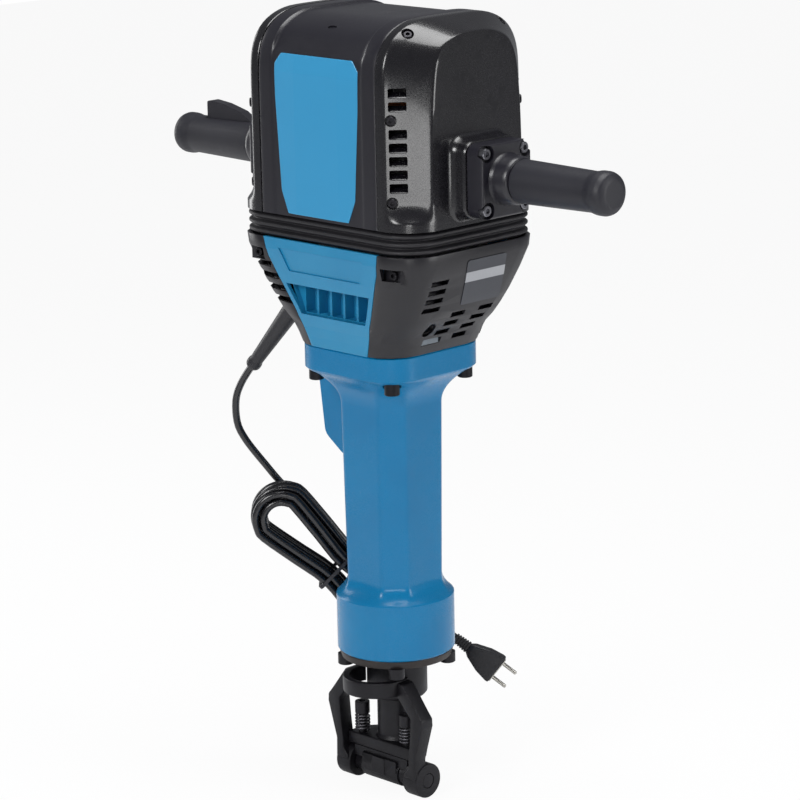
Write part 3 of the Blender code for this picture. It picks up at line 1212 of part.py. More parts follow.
# ---------------------------------------------------------------- hammer mechanism
def hammer_pieces():
    flange_z = FLANGE_TOP_Z - CYLINDER_FLANGE_T + GAP
    stop_z = STRIKER_BOTTOM_Z - GAP
    tube = turned([
        (CYLINDER_R, CYLINDER_TOP_Z), (CYLINDER_R, FLANGE_TOP_Z), (CYLINDER_FLANGE_R, FLANGE_TOP_Z),
                   (CYLINDER_FLANGE_R, flange_z),
        (CYLINDER_R, flange_z), (CYLINDER_R, CYLINDER_BOTTOM_Z), (STRIKER_NOSE_R + 0.0025, CYLINDER_BOTTOM_Z),
        (STRIKER_NOSE_R + 0.0025, stop_z), (CYLINDER_BORE_R, stop_z), (CYLINDER_BORE_R, CYLINDER_TOP_Z)],
        INNER_STEPS, closed=True)
    place("cylinder", tube, STEEL)
    nose = STRIKER_NOSE_R
    bottom = STRIKER_BOTTOM_Z
    top = bottom + STRIKER_H
    striker = turned([(0.0, top), (CYLINDER_BORE_R - 0.0005, top), (CYLINDER_BORE_R - 0.0005, bottom),
                      (nose, bottom),
                      (nose - 0.002, bottom - STRIKER_NOSE_H), (0.0, bottom - STRIKER_NOSE_H)], INNER_STEPS)
    place("striker", striker, STEEL)
    bush_low = RING_BOTTOM_Z + RING_T + SPIGOT_H + 0.003
    bush = turned([(BARREL_BORE_R - 0.0006, CYLINDER_BOTTOM_Z - GAP), (BARREL_BORE_R - 0.0006, bush_low),
                   (0.0145, bush_low),
                   (0.0145, IMPACT_Z - GAP), (IMPACT_R + 0.0006, IMPACT_Z - GAP),
                   (IMPACT_R + 0.0006, CYLINDER_BOTTOM_Z - GAP)],
                  INNER_STEPS, closed=True)
    place("guide_bush", bush, DARK_STEEL)
    crown = IMPACT_Z + IMPACT_H
    bolt_mesh = turned([(0.0, crown + 0.010), (0.013, crown + 0.010), (0.014, crown),
                        (IMPACT_R, crown - 0.003), (IMPACT_R, IMPACT_Z),
                        (0.013, IMPACT_Z), (0.013, SOCKET_DEPTH + 0.003), (0.0, SOCKET_DEPTH + 0.003)],
                       INNER_STEPS)
    place("impact_bolt", bolt_mesh, STEEL)
    wrist_z = CRANK_Z - CRANK_R - ROD_LENGTH
    crown_r = CYLINDER_BORE_R - 0.0005
    piston = turned([(0.0, wrist_z + PISTON_H / 2), (crown_r, wrist_z + PISTON_H / 2),
                     (crown_r, wrist_z - PISTON_H / 2),
                     (0.0, wrist_z - PISTON_H / 2)], INNER_STEPS)
    room = box((-ROD_T / 2 - 0.001, -0.0185, wrist_z - 0.0125), (ROD_T / 2 + 0.001, 0.0185, wrist_z + 0.04))
    pin_hole = cylinder(WRIST_PIN_R + GAP, (-0.04, 0, wrist_z), (0.04, 0, wrist_z), 12)
    place("piston", cut(piston, room, pin_hole), STEEL)
    pin_half = CYLINDER_BORE_R - 0.004
    place("wrist_pin", cylinder(WRIST_PIN_R, (-pin_half, 0, wrist_z), (pin_half, 0, wrist_z), 12), STEEL)
    eye_z = wrist_z + ROD_LENGTH
    half = ROD_T / 2
    shank = prism([(-0.0075, wrist_z + 0.006), (0.0075, wrist_z + 0.006), (0.009, eye_z - 0.010),
                   (-0.009, eye_z - 0.010)],
                  -half + 0.003, half - 0.003, "YZ")
    small_eye = cylinder(0.0105, (-half, 0, wrist_z), (half, 0, wrist_z), INNER_STEPS)
    big_eye = cylinder(0.0145, (-half, 0, eye_z), (half, 0, eye_z), INNER_STEPS)
    crank_pin = cylinder(0.007, (-half - 0.002, 0, eye_z), (half + 0.0012, 0, eye_z), 12)
    hole = cylinder(WRIST_PIN_R + GAP, (-half - 0.01, 0, wrist_z), (half + 0.01, 0, wrist_z), 12)
    rod = cut(union(shank, small_eye, big_eye, crank_pin), hole)
    place("connecting_rod", rod, STEEL, (0.0, 0.0, wrist_z))


# ---------------------------------------------------------------- bit retainer
def pivot_block():
    barrel = cylinder(BARREL_PIVOT_R, (-PIVOT_HALF_X, HINGE_Y, HINGE_Z), (PIVOT_HALF_X, HINGE_Y, HINGE_Z), 24)
    bosses = cylinder(0.0115, (-EAR_IN_X + 0.001, HINGE_Y, HINGE_Z), (EAR_IN_X - 0.001, HINGE_Y, HINGE_Z), 20)
    top_z = -GAP
    slab = box((-EAR_IN_X + GAP, -0.0275, -0.0125), (EAR_IN_X - GAP, -0.0065, top_z))
    neck = box((-PIVOT_HALF_X + 0.002, HINGE_Y - BARREL_PIVOT_R, HINGE_Z),
               (PIVOT_HALF_X - 0.002, HINGE_Y + 0.010, -0.006))
    land = box((-0.009, HINGE_Y - BARREL_PIVOT_R - 0.0012, HINGE_Z - 0.003), (0.009, HINGE_Y, -0.006))
    body = union(barrel, bosses, slab, neck, land)
    bit_way = cylinder(SOCKET_FLATS / math.sqrt(3.0) + 0.0008, (0, 0, HINGE_Z - 0.04), (0, 0, CUT_EXTRA), 24)
    pin_way = cylinder(HINGE_PIN_R + GAP, (-0.1, HINGE_Y, HINGE_Z), (0.1, HINGE_Y, HINGE_Z), 20)
    threads = [cylinder(CUSHION_SHANK_R + GAP, (x, CUSHION_Y, -0.0095), (x, CUSHION_Y, CUT_EXTRA), 12)
               for x in (-CUSHION_X, CUSHION_X)]
    return place("pivot_block", cut(body, bit_way, pin_way, together(*threads)), DARK_STEEL)


def cushion_bolts():
    head_top = CUSHION_HEAD_Z + CUSHION_HEAD_H
    one = turned([(0.0, head_top - 0.005), (0.0035, head_top - 0.005), (0.0035, head_top),
                  (CUSHION_HEAD_R, head_top),
                  (CUSHION_HEAD_R, CUSHION_HEAD_Z), (CUSHION_SHANK_R, CUSHION_HEAD_Z),
                  (CUSHION_SHANK_R, -0.009),
                  (0.0, -0.009)], 16)
    place_copies("cushion_bolt", one, DARK_STEEL, [(CUSHION_X, CUSHION_Y, 0.0), (-CUSHION_X, CUSHION_Y, 0.0)])


def cushion_springs():
    radius = SPRING_WIRE / 2
    low = PLATE_T + radius + 0.0005
    high = CUSHION_HEAD_Z - radius - 0.0005
    points = []
    per_curl = 8
    for step in range(SPRING_CURLS * per_curl + 1):
        angle = 2 * math.pi * step / per_curl
        points.append((SPRING_R * math.cos(angle), SPRING_R * math.sin(angle),
                       low + (high - low) * step / (SPRING_CURLS * per_curl)))
    one = wire(points, radius, 1)
    print(f"least gap between the curls of a cushion spring: "
          f"{((high - low) / SPRING_CURLS - SPRING_WIRE) * 1000:.2f} mm")
    place_copies("cushion_spring", one, STEEL, [(CUSHION_X, CUSHION_Y, 0.0), (-CUSHION_X, CUSHION_Y, 0.0)])


def arm_mesh():
    """Right-hand arm of the retainer: up from the ear, out to the knee and in to the lip."""
    foot_z = HINGE_Z + 0.0045
    outline = [(0.0425, foot_z), (EAR_OUT_X - 0.0008, foot_z), (0.0595, 0.004),
               (KNEE_X - 0.0005, KNEE_Z - 0.004),
               (KNEE_X - 0.001, KNEE_Z + 0.004), (0.064, 0.060), (0.043, LIP_TOP_Z - 0.002),
               (0.031, LIP_TOP_Z - 0.0005),
               (0.031, LIP_TOP_Z - LIP_H + 0.004), (0.0545, 0.050), (0.0525, 0.026), (0.0497, 0.003),
               (0.0497, -0.0052),
               (0.0425, -0.013)]
    return prism(outline, ARM_Y - ARM_T / 2, ARM_Y + ARM_T / 2)


def bit_retainer():
    lip_steps = 14
    outer = arc_points((0.0, LIP_CENTRE_Y), LIP_R, 162, 378, lip_steps)
    inner = arc_points((0.0, LIP_CENTRE_Y), LIP_R - LIP_T, 162, 378, lip_steps)
    lip = prism(outer + list(reversed(inner)), LIP_TOP_Z - LIP_H, LIP_TOP_Z, "XY")
    arm = arm_mesh()
    ear = cylinder(EAR_R, (EAR_IN_X, HINGE_Y, HINGE_Z), (EAR_OUT_X, HINGE_Y, HINGE_Z), 24)
    body = union(lip, arm, mirrored_x(arm), ear, mirrored_x(ear))
    pin_way = cylinder(HINGE_PIN_R + GAP, (-0.1, HINGE_Y, HINGE_Z), (0.1, HINGE_Y, HINGE_Z), 20)
    roll_holes = roll_pin_set(0.0022 + GAP, 0.03)
    return place("bit_retainer", cut(body, pin_way, roll_holes), DARK_STEEL, (0.0, HINGE_Y, HINGE_Z))


def roll_pin_set(radius, length):
    """Cross pins through the ears, along the direction in which the ears' holes point."""
    middle = (EAR_IN_X + EAR_OUT_X) / 2
    aim = Vector((0.0, -math.cos(math.radians(20.0)), -math.sin(math.radians(20.0))))
    centre = Vector((middle, HINGE_Y, HINGE_Z))
    one = cylinder(radius, centre - aim * 0.002, centre + aim * length, 12)
    return together(one, mirrored_x(one))


def retainer_pin():
    """Hinge pin with the flat that clears the bit; its two roll pins are joined to it."""
    pin = cylinder(HINGE_PIN_R, (-EAR_OUT_X, HINGE_Y, HINGE_Z), (EAR_OUT_X, HINGE_Y, HINGE_Z), 20)
    bit_way = cylinder(SOCKET_FLATS / math.sqrt(3.0) + 0.0008, (0, 0, HINGE_Z - 0.04), (0, 0, CUT_EXTRA), 24)
    body = union(cut(pin, bit_way), roll_pin_set(0.0022, EAR_R - 0.003))
    return place("retainer_pin", body, DARK_STEEL, (0.0, HINGE_Y, HINGE_Z))


# ---------------------------------------------------------------- cord
def view_point(side, height, depth):
    """A point given as in the photograph: to the right, up, and behind the tool's axis."""
    right = Vector((math.cos(VIEW_AZIMUTH), math.sin(VIEW_AZIMUTH), 0.0))
    back = Vector((-math.sin(VIEW_AZIMUTH), math.cos(VIEW_AZIMUTH), 0.0))
    return right * side + back * depth + Vector((0.0, 0.0, height))


def hank_local(turns):
    """Place on the hank after so many loops, as (along, across, layer).

    The radius spirals in and out by turns, and each layer change is centred on a reversal."""
    per_layer = HANK_LOOPS_PER_LAYER
    layer = int(min(turns // per_layer, HANK_LAYERS - 1))
    within = turns - layer * per_layer
    wound = per_layer - within if layer % 2 == 0 else within
    radius = HANK_INNER_R + HANK_STEP * wound
    share = turns % 1.0
    bend = 1.0 / 3.0
    run = 0.5 - bend
    turn = share % 0.5
    sign = 1.0 if share < 0.5 else -1.0
    if turn < run:
        along, across = HANK_HALF * (1.0 - 2.0 * turn / run), radius
        across -= HANK_PINCH * math.cos(math.pi * along / (2 * HANK_HALF)) ** 2
    else:
        angle = math.pi * (turn - run) / bend
        along, across = -HANK_HALF - radius * math.sin(angle), radius * math.cos(angle)
    height = 0.0
    for change in range(1, HANK_LAYERS):
        height += min(1.0, max(0.0, 0.5 + (turns - change * per_layer) / HANK_CLIMB))
    return sign * along, sign * across, height


def hank_point(turns):
    along, across, layer = hank_local(turns)
    side = HANK_CENTRE_S + along * math.cos(HANK_TILT) - across * math.sin(HANK_TILT)
    height = HANK_CENTRE_Z + along * math.sin(HANK_TILT) + across * math.cos(HANK_TILT)
    return view_point(side, height, HANK_DEPTH + HANK_STEP * (HANK_LAYERS - 1 - layer))


def hank_points():
    """From the rear layer to the front one, ending part of the way round the lower bight."""
    steps = HANK_LAYERS * HANK_LOOPS_PER_LAYER * LOOP_POINTS - 5
    return [hank_point(step / LOOP_POINTS) for step in range(steps + 1)]


def lower_bight(share, radius, depth):
    """A point on a half turn round the lower end of the hank, from its far run to its near run."""
    angle = math.pi * share
    along, across = HANK_HALF + radius * math.sin(angle), -radius * math.cos(angle)
    side = HANK_CENTRE_S + along * math.cos(HANK_TILT) - across * math.sin(HANK_TILT)
    height = HANK_CENTRE_Z + along * math.sin(HANK_TILT) + across * math.cos(HANK_TILT)
    return view_point(side, height, depth)


def least_gap(points, diameter, skip):
    """Smallest clear distance between stretches of one tube that aren't neighbours along it."""
    table = np.array([tuple(point) for point in points])
    fine = np.concatenate([table[:-1] + (table[1:] - table[:-1]) * share for share in (0.0, 0.25, 0.5, 0.75)])
    order = np.concatenate([np.arange(len(table) - 1) + share for share in (0.0, 0.25, 0.5, 0.75)])
    least = 1.0
    for place_, station in zip(fine, order):
        far = np.abs(order - station) > skip
        least = min(least, float(np.linalg.norm(fine[far] - place_, axis=1).min()))
    return least - diameter


def cord_pieces():
    along = (GUARD_END - GUARD_START).normalized()
    length = (GUARD_END - GUARD_START).length
    guard = turned([(0.0, length), (GUARD_TIP_R - 0.001, length), (GUARD_TIP_R + 0.0012, length - 0.003),
                    (GUARD_TIP_R + 0.0012, length - 0.008), (GUARD_TIP_R, length - 0.011),
                    (GUARD_ROOT_R - 0.001, 0.030),
                    (GUARD_ROOT_R, 0.022), (GUARD_ROOT_R, 0.0), (0.0, 0.0)], 20)
    guard.transform(Matrix.Translation(GUARD_START) @ along.to_track_quat("Z", "Y").to_matrix().to_4x4())
    place("cord_guard", guard, RUBBER)

    hank = hank_points()
    print(f"least gap of the hank to itself: {least_gap(hank, CORD_D, 6) * 1000:.2f} mm")
    place("cord_hank", wire(hank, CORD_D / 2, 1), RUBBER)

    start = GUARD_END + along * GAP
    into = (hank[1] - hank[0]).normalized()
    outer = HANK_INNER_R + HANK_STEP * HANK_LOOPS_PER_LAYER
    behind = HANK_DEPTH + HANK_STEP * (HANK_LAYERS - 1)
    bight = [lower_bight(share, outer + 0.006 * (1.0 - share), behind + 0.014 * (1.0 - share) ** 0.7)
             for share in (0.15, 0.4, 0.65, 0.85)]
    lead = smooth_route(start, along, [view_point(*spot) for spot in LEAD_ROUTE] + bight,
                        hank[0] - into * GAP, into, 0.018)
    place("cord_lead", wire(lead, CORD_D / 2, 2), RUBBER)

    outof = (hank[-1] - hank[-2]).normalized()
    plug_aim = (PLUG_END - PLUG_START).normalized()
    tail = smooth_route(hank[-1] + outof * GAP, outof, [view_point(*spot) for spot in TAIL_ROUTE],
                        PLUG_START - plug_aim * GAP, plug_aim, 0.016)
    place("cord_tail", wire(tail, CORD_D / 2, 2), RUBBER)
    total = sum((b - a).length for run in (lead, hank, tail) for a, b in zip(run, run[1:]))
    print(f"length of cord: {total:.2f} m")

    middle = view_point(HANK_CENTRE_S, HANK_CENTRE_Z, HANK_DEPTH + HANK_STEP * (HANK_LAYERS - 1) / 2)
    half_across = HANK_INNER_R + HANK_STEP * HANK_LOOPS_PER_LAYER - HANK_PINCH + CORD_D / 2 + 0.0006
    half_deep = HANK_STEP * (HANK_LAYERS - 1) / 2 + CORD_D / 2 + 0.0006
    tie = loft([[(x, y, z) for x, y in rounded_section(half_across + grow, half_deep + grow, 0.006, 1.0, 3)]
                for grow, z in ((0.0, -0.002), (0.0012, -0.002), (0.0012, 0.002), (0.0, 0.002))],
               closed_tube=True)
    axis = view_point(math.cos(HANK_TILT), math.sin(HANK_TILT), 0.0)
    across_axis = view_point(-math.sin(HANK_TILT), math.cos(HANK_TILT), 0.0)
    frame = Matrix((across_axis, axis.cross(across_axis), axis)).transposed().to_4x4()
    tie.transform(Matrix.Translation(middle) @ frame)
    place("cord_tie", outward(tie), BLACK)

    plug_length = (PLUG_END - PLUG_START).length
    stations = [
        # along the plug, half width, half thickness, corner radius
        (0.000, 0.0055, 0.0050, 0.0040),
        (0.019, 0.0065, 0.0056, 0.0040),
        (0.023, 0.0085, 0.0064, 0.0030),
        (plug_length - 0.018, 0.0145, 0.0068, 0.0025),
        (plug_length - 0.004, 0.0170, 0.0068, 0.0020),
        (plug_length, 0.0170, 0.0066, 0.0020),
    ]
    plug = loft([[(x, y, z) for x, y in rounded_section(wide, thick, corner, 1.0, 3)]
                 for z, wide, thick, corner in stations])
    back = view_point(0.0, 0.0, 1.0)
    wide_axis = back.cross(plug_aim).normalized()
    turn = Matrix((wide_axis, plug_aim.cross(wide_axis), plug_aim)).transposed().to_4x4()
    seat = Matrix.Translation(PLUG_START) @ turn
    plug.transform(seat)
    place("plug_body", outward(plug), RUBBER)
    insert = loft([[(x, y, z) for x, y in rounded_section(0.0150, 0.0050, 0.0020, 1.0, 2)]
                   for z in (GAP, 0.0012)])
    for sign in (1, -1):
        pin = turned([(0.0014, 0.0195), (0.0022, 0.0180), (0.0022, 2 * GAP)], 12)
        insert = union(insert, moved(pin, (sign * 0.0095, 0.0, 0.0)))
    insert.transform(seat @ Matrix.Translation((0.0, 0.0, plug_length)))
    place("plug_pins", insert, NICKEL)


LEAD_ROUTE = [
    # seen from the photograph: right of the axis, height, depth behind the axis
    (-0.1610, 0.3830, 0.1050),
    (-0.1686, 0.3620, 0.1110),
    (-0.1660, 0.3260, 0.1125),
    (-0.1345, 0.2800, 0.1125),
    (-0.1124, 0.2534, 0.1125),
    (-0.0770, 0.2150, 0.1125),
    (-0.0525, 0.1800, 0.1125),
    (-0.0390, 0.1400, 0.1125),
]
TAIL_ROUTE = [
    (0.0260, 0.0985, 0.0730),
    (0.0370, 0.1030, 0.0750),
    (0.0480, 0.1038, 0.0770),
]
PLUG_START = view_point(0.0645, 0.0945, 0.0785)
PLUG_END = view_point(0.1095, 0.0590, 0.0715)


# ---------------------------------------------------------------- build
def build():
    barrel_housing()
    nose_housing()
    nose_bolts()
    bit_sleeve()
    hammer_pieces()
    front = front_cover_mesh()
    place("front_cover", front, BLUE)
    place("rear_cover", mirrored_y(front), BLUE)
    lower_cover(1)
    lower_cover(-1)
    indicator_window()
    bellows()
    crank_case()
    gear_cover()
    shaft_bearings()
    crankshaft()
    layshaft()
    motor_pieces()
    suspension_springs()
    upper_band()
    panel = panel_mesh()
    place("front_panel", panel, PANEL_BLUE)
    place("rear_panel", mirrored_y(panel), PANEL_BLUE)
    side = side_cover()
    place("side_cover_right", side, GLOSS_BLACK)
    place("side_cover_left", mirrored_x(side), GLOSS_BLACK)
    bracket = bracket_mesh()
    place("handle_bracket_right", bracket, BLACK)
    place("handle_bracket_left", mirrored_x(bracket), BLACK)
    handles()
    trigger_lever()
    trigger_switch()
    pivot_block()
    cushion_bolts()
    cushion_springs()
    bit_retainer()
    retainer_pin()
    cord_pieces()


build()
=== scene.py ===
"""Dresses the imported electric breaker: finer skins over its solids, their finishes, light and camera."""

import bmesh
import bpy
import json
import math
import numpy as np
from mathutils import Matrix, Vector

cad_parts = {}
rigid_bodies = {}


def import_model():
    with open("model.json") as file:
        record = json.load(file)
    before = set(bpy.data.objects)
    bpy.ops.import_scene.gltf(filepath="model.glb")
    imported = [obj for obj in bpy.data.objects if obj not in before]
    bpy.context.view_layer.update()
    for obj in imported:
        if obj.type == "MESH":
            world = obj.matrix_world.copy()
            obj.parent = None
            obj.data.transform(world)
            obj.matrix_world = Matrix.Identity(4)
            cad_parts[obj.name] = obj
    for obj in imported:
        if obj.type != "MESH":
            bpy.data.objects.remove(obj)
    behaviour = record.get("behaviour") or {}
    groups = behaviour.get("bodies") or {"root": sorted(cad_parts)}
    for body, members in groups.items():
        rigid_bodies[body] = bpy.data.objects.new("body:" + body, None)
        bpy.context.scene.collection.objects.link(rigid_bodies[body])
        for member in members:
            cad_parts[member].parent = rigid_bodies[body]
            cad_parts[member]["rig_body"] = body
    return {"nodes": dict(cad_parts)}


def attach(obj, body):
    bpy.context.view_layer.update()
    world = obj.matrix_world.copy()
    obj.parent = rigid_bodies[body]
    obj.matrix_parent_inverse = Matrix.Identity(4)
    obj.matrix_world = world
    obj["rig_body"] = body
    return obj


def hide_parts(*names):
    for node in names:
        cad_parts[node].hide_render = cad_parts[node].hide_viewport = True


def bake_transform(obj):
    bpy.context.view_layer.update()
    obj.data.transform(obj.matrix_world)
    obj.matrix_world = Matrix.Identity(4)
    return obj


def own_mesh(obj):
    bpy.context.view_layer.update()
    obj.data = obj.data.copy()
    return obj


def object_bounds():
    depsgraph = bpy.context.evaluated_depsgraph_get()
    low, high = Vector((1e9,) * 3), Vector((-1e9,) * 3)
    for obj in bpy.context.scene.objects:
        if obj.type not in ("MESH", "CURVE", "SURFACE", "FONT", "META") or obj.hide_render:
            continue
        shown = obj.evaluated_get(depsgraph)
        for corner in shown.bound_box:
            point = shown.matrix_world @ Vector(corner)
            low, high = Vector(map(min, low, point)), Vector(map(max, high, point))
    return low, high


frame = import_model()
cad_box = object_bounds()
NODES = frame["nodes"]


def body_of(node):
    """The body that a CAD node moves with."""
    return NODES[node]["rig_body"]


SIDES = {1: "right", -1: "left"}
HANDLE_Z = 0.638
BRACKET_Z = 0.6375
TUBE_R = 0.0163             # bore of the grips and brackets
GUIDE_Y = 0.074             # guide rods of the handle frame, and their springs
CASING_Y = 0.0985           # half depth of the upper casing
ARCH_FOOT = 0.738           # height at which the casing starts to round over
FOOT_CORNER = 0.04          # corner radius of the casing over the bellows
FACET_X = 0.031             # half width of a panel's flat middle
FLANGE_BOLTS = [(x, y) for x in (-0.056, 0.056) for y in (-0.054, 0.054)]
PIN_AT = Vector((0.0, -0.0165, -0.0215))
CUSHION_X, CUSHION_Y = 0.0335, -0.0205


# ---------------------------------------------------------------- finishes
class Wire:
    """A value in a finish's tree of nodes; sums and products of wires add its Math nodes."""

    def __init__(self, finish, socket):
        self.finish = finish
        self.socket = socket

    def worked(self, operation, *values, clamp=False):
        """The values taken through one Math node."""
        settings = {"operation": operation, "use_clamp": clamp}
        return self.finish.node("ShaderNodeMath", settings, dict(enumerate(values)))

    def __add__(self, other):
        return self.worked("ADD", self, other)

    __radd__ = __add__

    def __sub__(self, other):
        return self.worked("SUBTRACT", self, other)

    def __rsub__(self, other):
        return self.worked("SUBTRACT", other, self)

    def __mul__(self, other):
        return self.worked("MULTIPLY", self, other)

    __rmul__ = __mul__

    def between(self, low, high):
        """0 below low, 1 above high, and an even slope between them."""
        return self.worked("MULTIPLY", self - low, 1.0 / (high - low), clamp=True)


class Finish:
    """One material of the machine, built from procedural nodes on object coordinates."""

    def __init__(self, name, holder=None):
        self.material = holder or bpy.data.materials.new(name)
        self.material.use_nodes = True
        self.tree = self.material.node_tree
        self.tree.nodes.clear()
        self.place = self.node("ShaderNodeTexCoord", out="Object")

    def node(self, kind, settings=None, sockets=None, out=0):
        """Adds a node, wires or sets its sockets, and gives the output that is asked for."""
        made = self.tree.nodes.new(kind)
        for key, value in (settings or {}).items():
            setattr(made, key, value)
        for key, value in (sockets or {}).items():
            if isinstance(value, Wire):
                self.tree.links.new(value.socket, made.inputs[key])
            else:
                made.inputs[key].default_value = value
        return Wire(self, made.outputs[out]) if len(made.outputs) else None

    def grain(self, scale, detail=2.0, rough=0.5, stretch=None):
        """Noise of so many spots to the metre, drawn out along an axis where the real surface is."""
        place = self.place
        if stretch:
            place = self.node("ShaderNodeMapping", {}, {"Vector": place, "Scale": stretch})
        sockets = {"Vector": place, "Scale": scale, "Detail": detail, "Roughness": rough}
        return self.node("ShaderNodeTexNoise", {}, sockets)

    def axis(self, letter):
        """One coordinate of the place on the machine, in metres."""
        return self.node("ShaderNodeSeparateXYZ", {}, {"Vector": self.place}, out=letter)

    def blended(self, share, first, second):
        """Goes from the first colour to the second as share goes from 0 to 1."""
        first, second = [colour if isinstance(colour, Wire) else tone(*colour) for colour in (first, second)]
        return self.node("ShaderNodeMix", {"data_type": "RGBA"}, {0: share, 6: first, 7: second}, out=2)

    def dents(self, height, depth, strength=1.0):
        """A normal that follows the height, which stands for so much depth."""
        return self.node("ShaderNodeBump", {}, {"Height": height, "Distance": depth, "Strength": strength})

    def done(self, **sockets):
        """Closes the material with the shader that takes these sockets."""
        names = {key.replace("_", " "): value for key, value in sockets.items()}
        shader = self.node("ShaderNodeBsdfPrincipled", {}, names)
        self.node("ShaderNodeOutputMaterial", {}, {"Surface": shader})
        return self.material


def tone(red, green, blue):
    """A colour read from 0 to 255 off a screen, as the linear values that a shader takes."""
    linear = [value / 255 / 12.92 if value / 255 <= 0.04045 else ((value / 255 + 0.055) / 1.055) ** 2.4
        for value in (red, green, blue)]
    return (*linear, 1.0)


def painted_casting(name, light, dark, gloss):
    """Thick gloss paint on a casting: faint orange peel, a little dust and a few scuffs."""
    made = Finish(name)
    cloud = made.grain(9.0, 3.0)
    peel = made.grain(420.0, 2.0)
    waves = made.grain(45.0, 2.0)
    scuffs = made.grain(130.0, 6.0, 0.7, (1.0, 1.0, 0.25)).between(0.66, 0.74)
    dust = made.grain(1500.0, 1.0)
    colour = made.blended(cloud.between(0.3, 0.7), light, dark)
    colour = made.blended(scuffs * 0.22, colour, (70, 140, 180))
    return made.done(Base_Color=colour, Roughness=gloss + 0.1 * cloud + 0.05 * dust + 0.15 * scuffs,
        Coat_Weight=0.18, Coat_Roughness=0.08, Specular_IOR_Level=0.3,
        Normal=made.dents(peel * 0.25 + waves, 0.00035, 0.35))


def moulded(name, light, dark, rough, texture, depth, coat=0.0, coat_rough=0.2):
    """Moulded plastic or rubber with the sparked texture of its tool."""
    made = Finish(name)
    cloud = made.grain(7.0, 3.0)
    fine = made.grain(texture, 2.0, 0.6)
    coarse = made.grain(texture * 0.3, 2.0)
    rubbed = made.grain(60.0, 5.0, 0.65).between(0.55, 0.75)
    colour = made.blended(cloud.between(0.3, 0.7), light, dark)
    return made.done(Base_Color=colour, Roughness=rough + 0.1 * (fine - 0.5) - 0.08 * rubbed,
        Coat_Weight=coat, Coat_Roughness=coat_rough, Normal=made.dents(fine + 0.4 * coarse, depth, 0.6))


def metal(name, light, dark, rough, metallic, grain_scale, depth, stretch=None):
    """Bare, cast or blackened metal with its own grain and slight stains."""
    made = Finish(name)
    stain = made.grain(30.0, 4.0, 0.6)
    grain = made.grain(grain_scale, 3.0, 0.6, stretch)
    colour = made.blended(stain.between(0.35, 0.65), light, dark)
    return made.done(Base_Color=colour, Metallic=metallic, Roughness=rough + 0.18 * (stain - 0.5) + 0.1
        * (grain - 0.5), Normal=made.dents(grain, depth, 0.7))


def panel_paint(name):
    """Satin paint of the front and rear panels, with slightly varied tone."""
    made = Finish(name)
    cloud = made.grain(6.0, 2.0)
    fine = made.grain(700.0, 2.0)
    return made.done(Base_Color=made.blended(cloud, (46, 143, 191), (55, 151, 199)),
        Roughness=0.3 + 0.06 * fine, Coat_Weight=0.15, Coat_Roughness=0.2,
        Normal=made.dents(fine, 0.00008, 0.4))


def cord_sheath(name):
    """Glossy black sheath of the lead, faintly ridged by the cores under it."""
    made = Finish(name)
    ridges = made.grain(90.0, 3.0)
    fine = made.grain(900.0, 2.0)
    return made.done(Base_Color=made.blended(ridges, (13, 13, 17), (22, 22, 27)),
        Roughness=0.22 + 0.1 * ridges, Coat_Weight=0.4, Coat_Roughness=0.15,
        Normal=made.dents(ridges + 0.3 * fine, 0.0004, 0.5))


def rating_label(name):
    """Printed metal label without its print: a dark ground with one pale field across the upper half."""
    made = Finish(name)
    height = made.axis("Z")
    field = height.between(0.5275, 0.5279) * (1.0 - height.between(0.5385, 0.5389))
    fine = made.grain(800.0, 2.0)
    colour = made.blended(field, (70, 72, 78), (176, 178, 182))
    return made.done(Base_Color=made.blended(fine * 0.12, colour, (40, 42, 46)), Metallic=0.35 + 0.2 * field,
        Roughness=0.38 + 0.1 * fine, Normal=made.dents(fine, 0.00005, 0.4))


def clear_lens(name):
    """Smoky window over the indicator."""
    made = Finish(name)
    fine = made.grain(500.0, 2.0)
    return made.done(Base_Color=made.blended(fine, (128, 138, 146), (104, 112, 120)),
        Roughness=0.12 + 0.1 * fine, Coat_Weight=0.4, Specular_IOR_Level=0.7)


def winding(name):
    """Enamelled copper over a stack of thin plates: fine lines round the motor's axis."""
    made = Finish(name)
    lines = made.grain(260.0, 2.0, 0.5, (8.0, 1.0, 1.0))
    return made.done(Base_Color=made.blended(lines.between(0.4, 0.6), (150, 84, 48), (196, 122, 78)),
        Metallic=0.8, Roughness=0.35 + 0.15 * lines, Normal=made.dents(lines, 0.0003, 0.6))


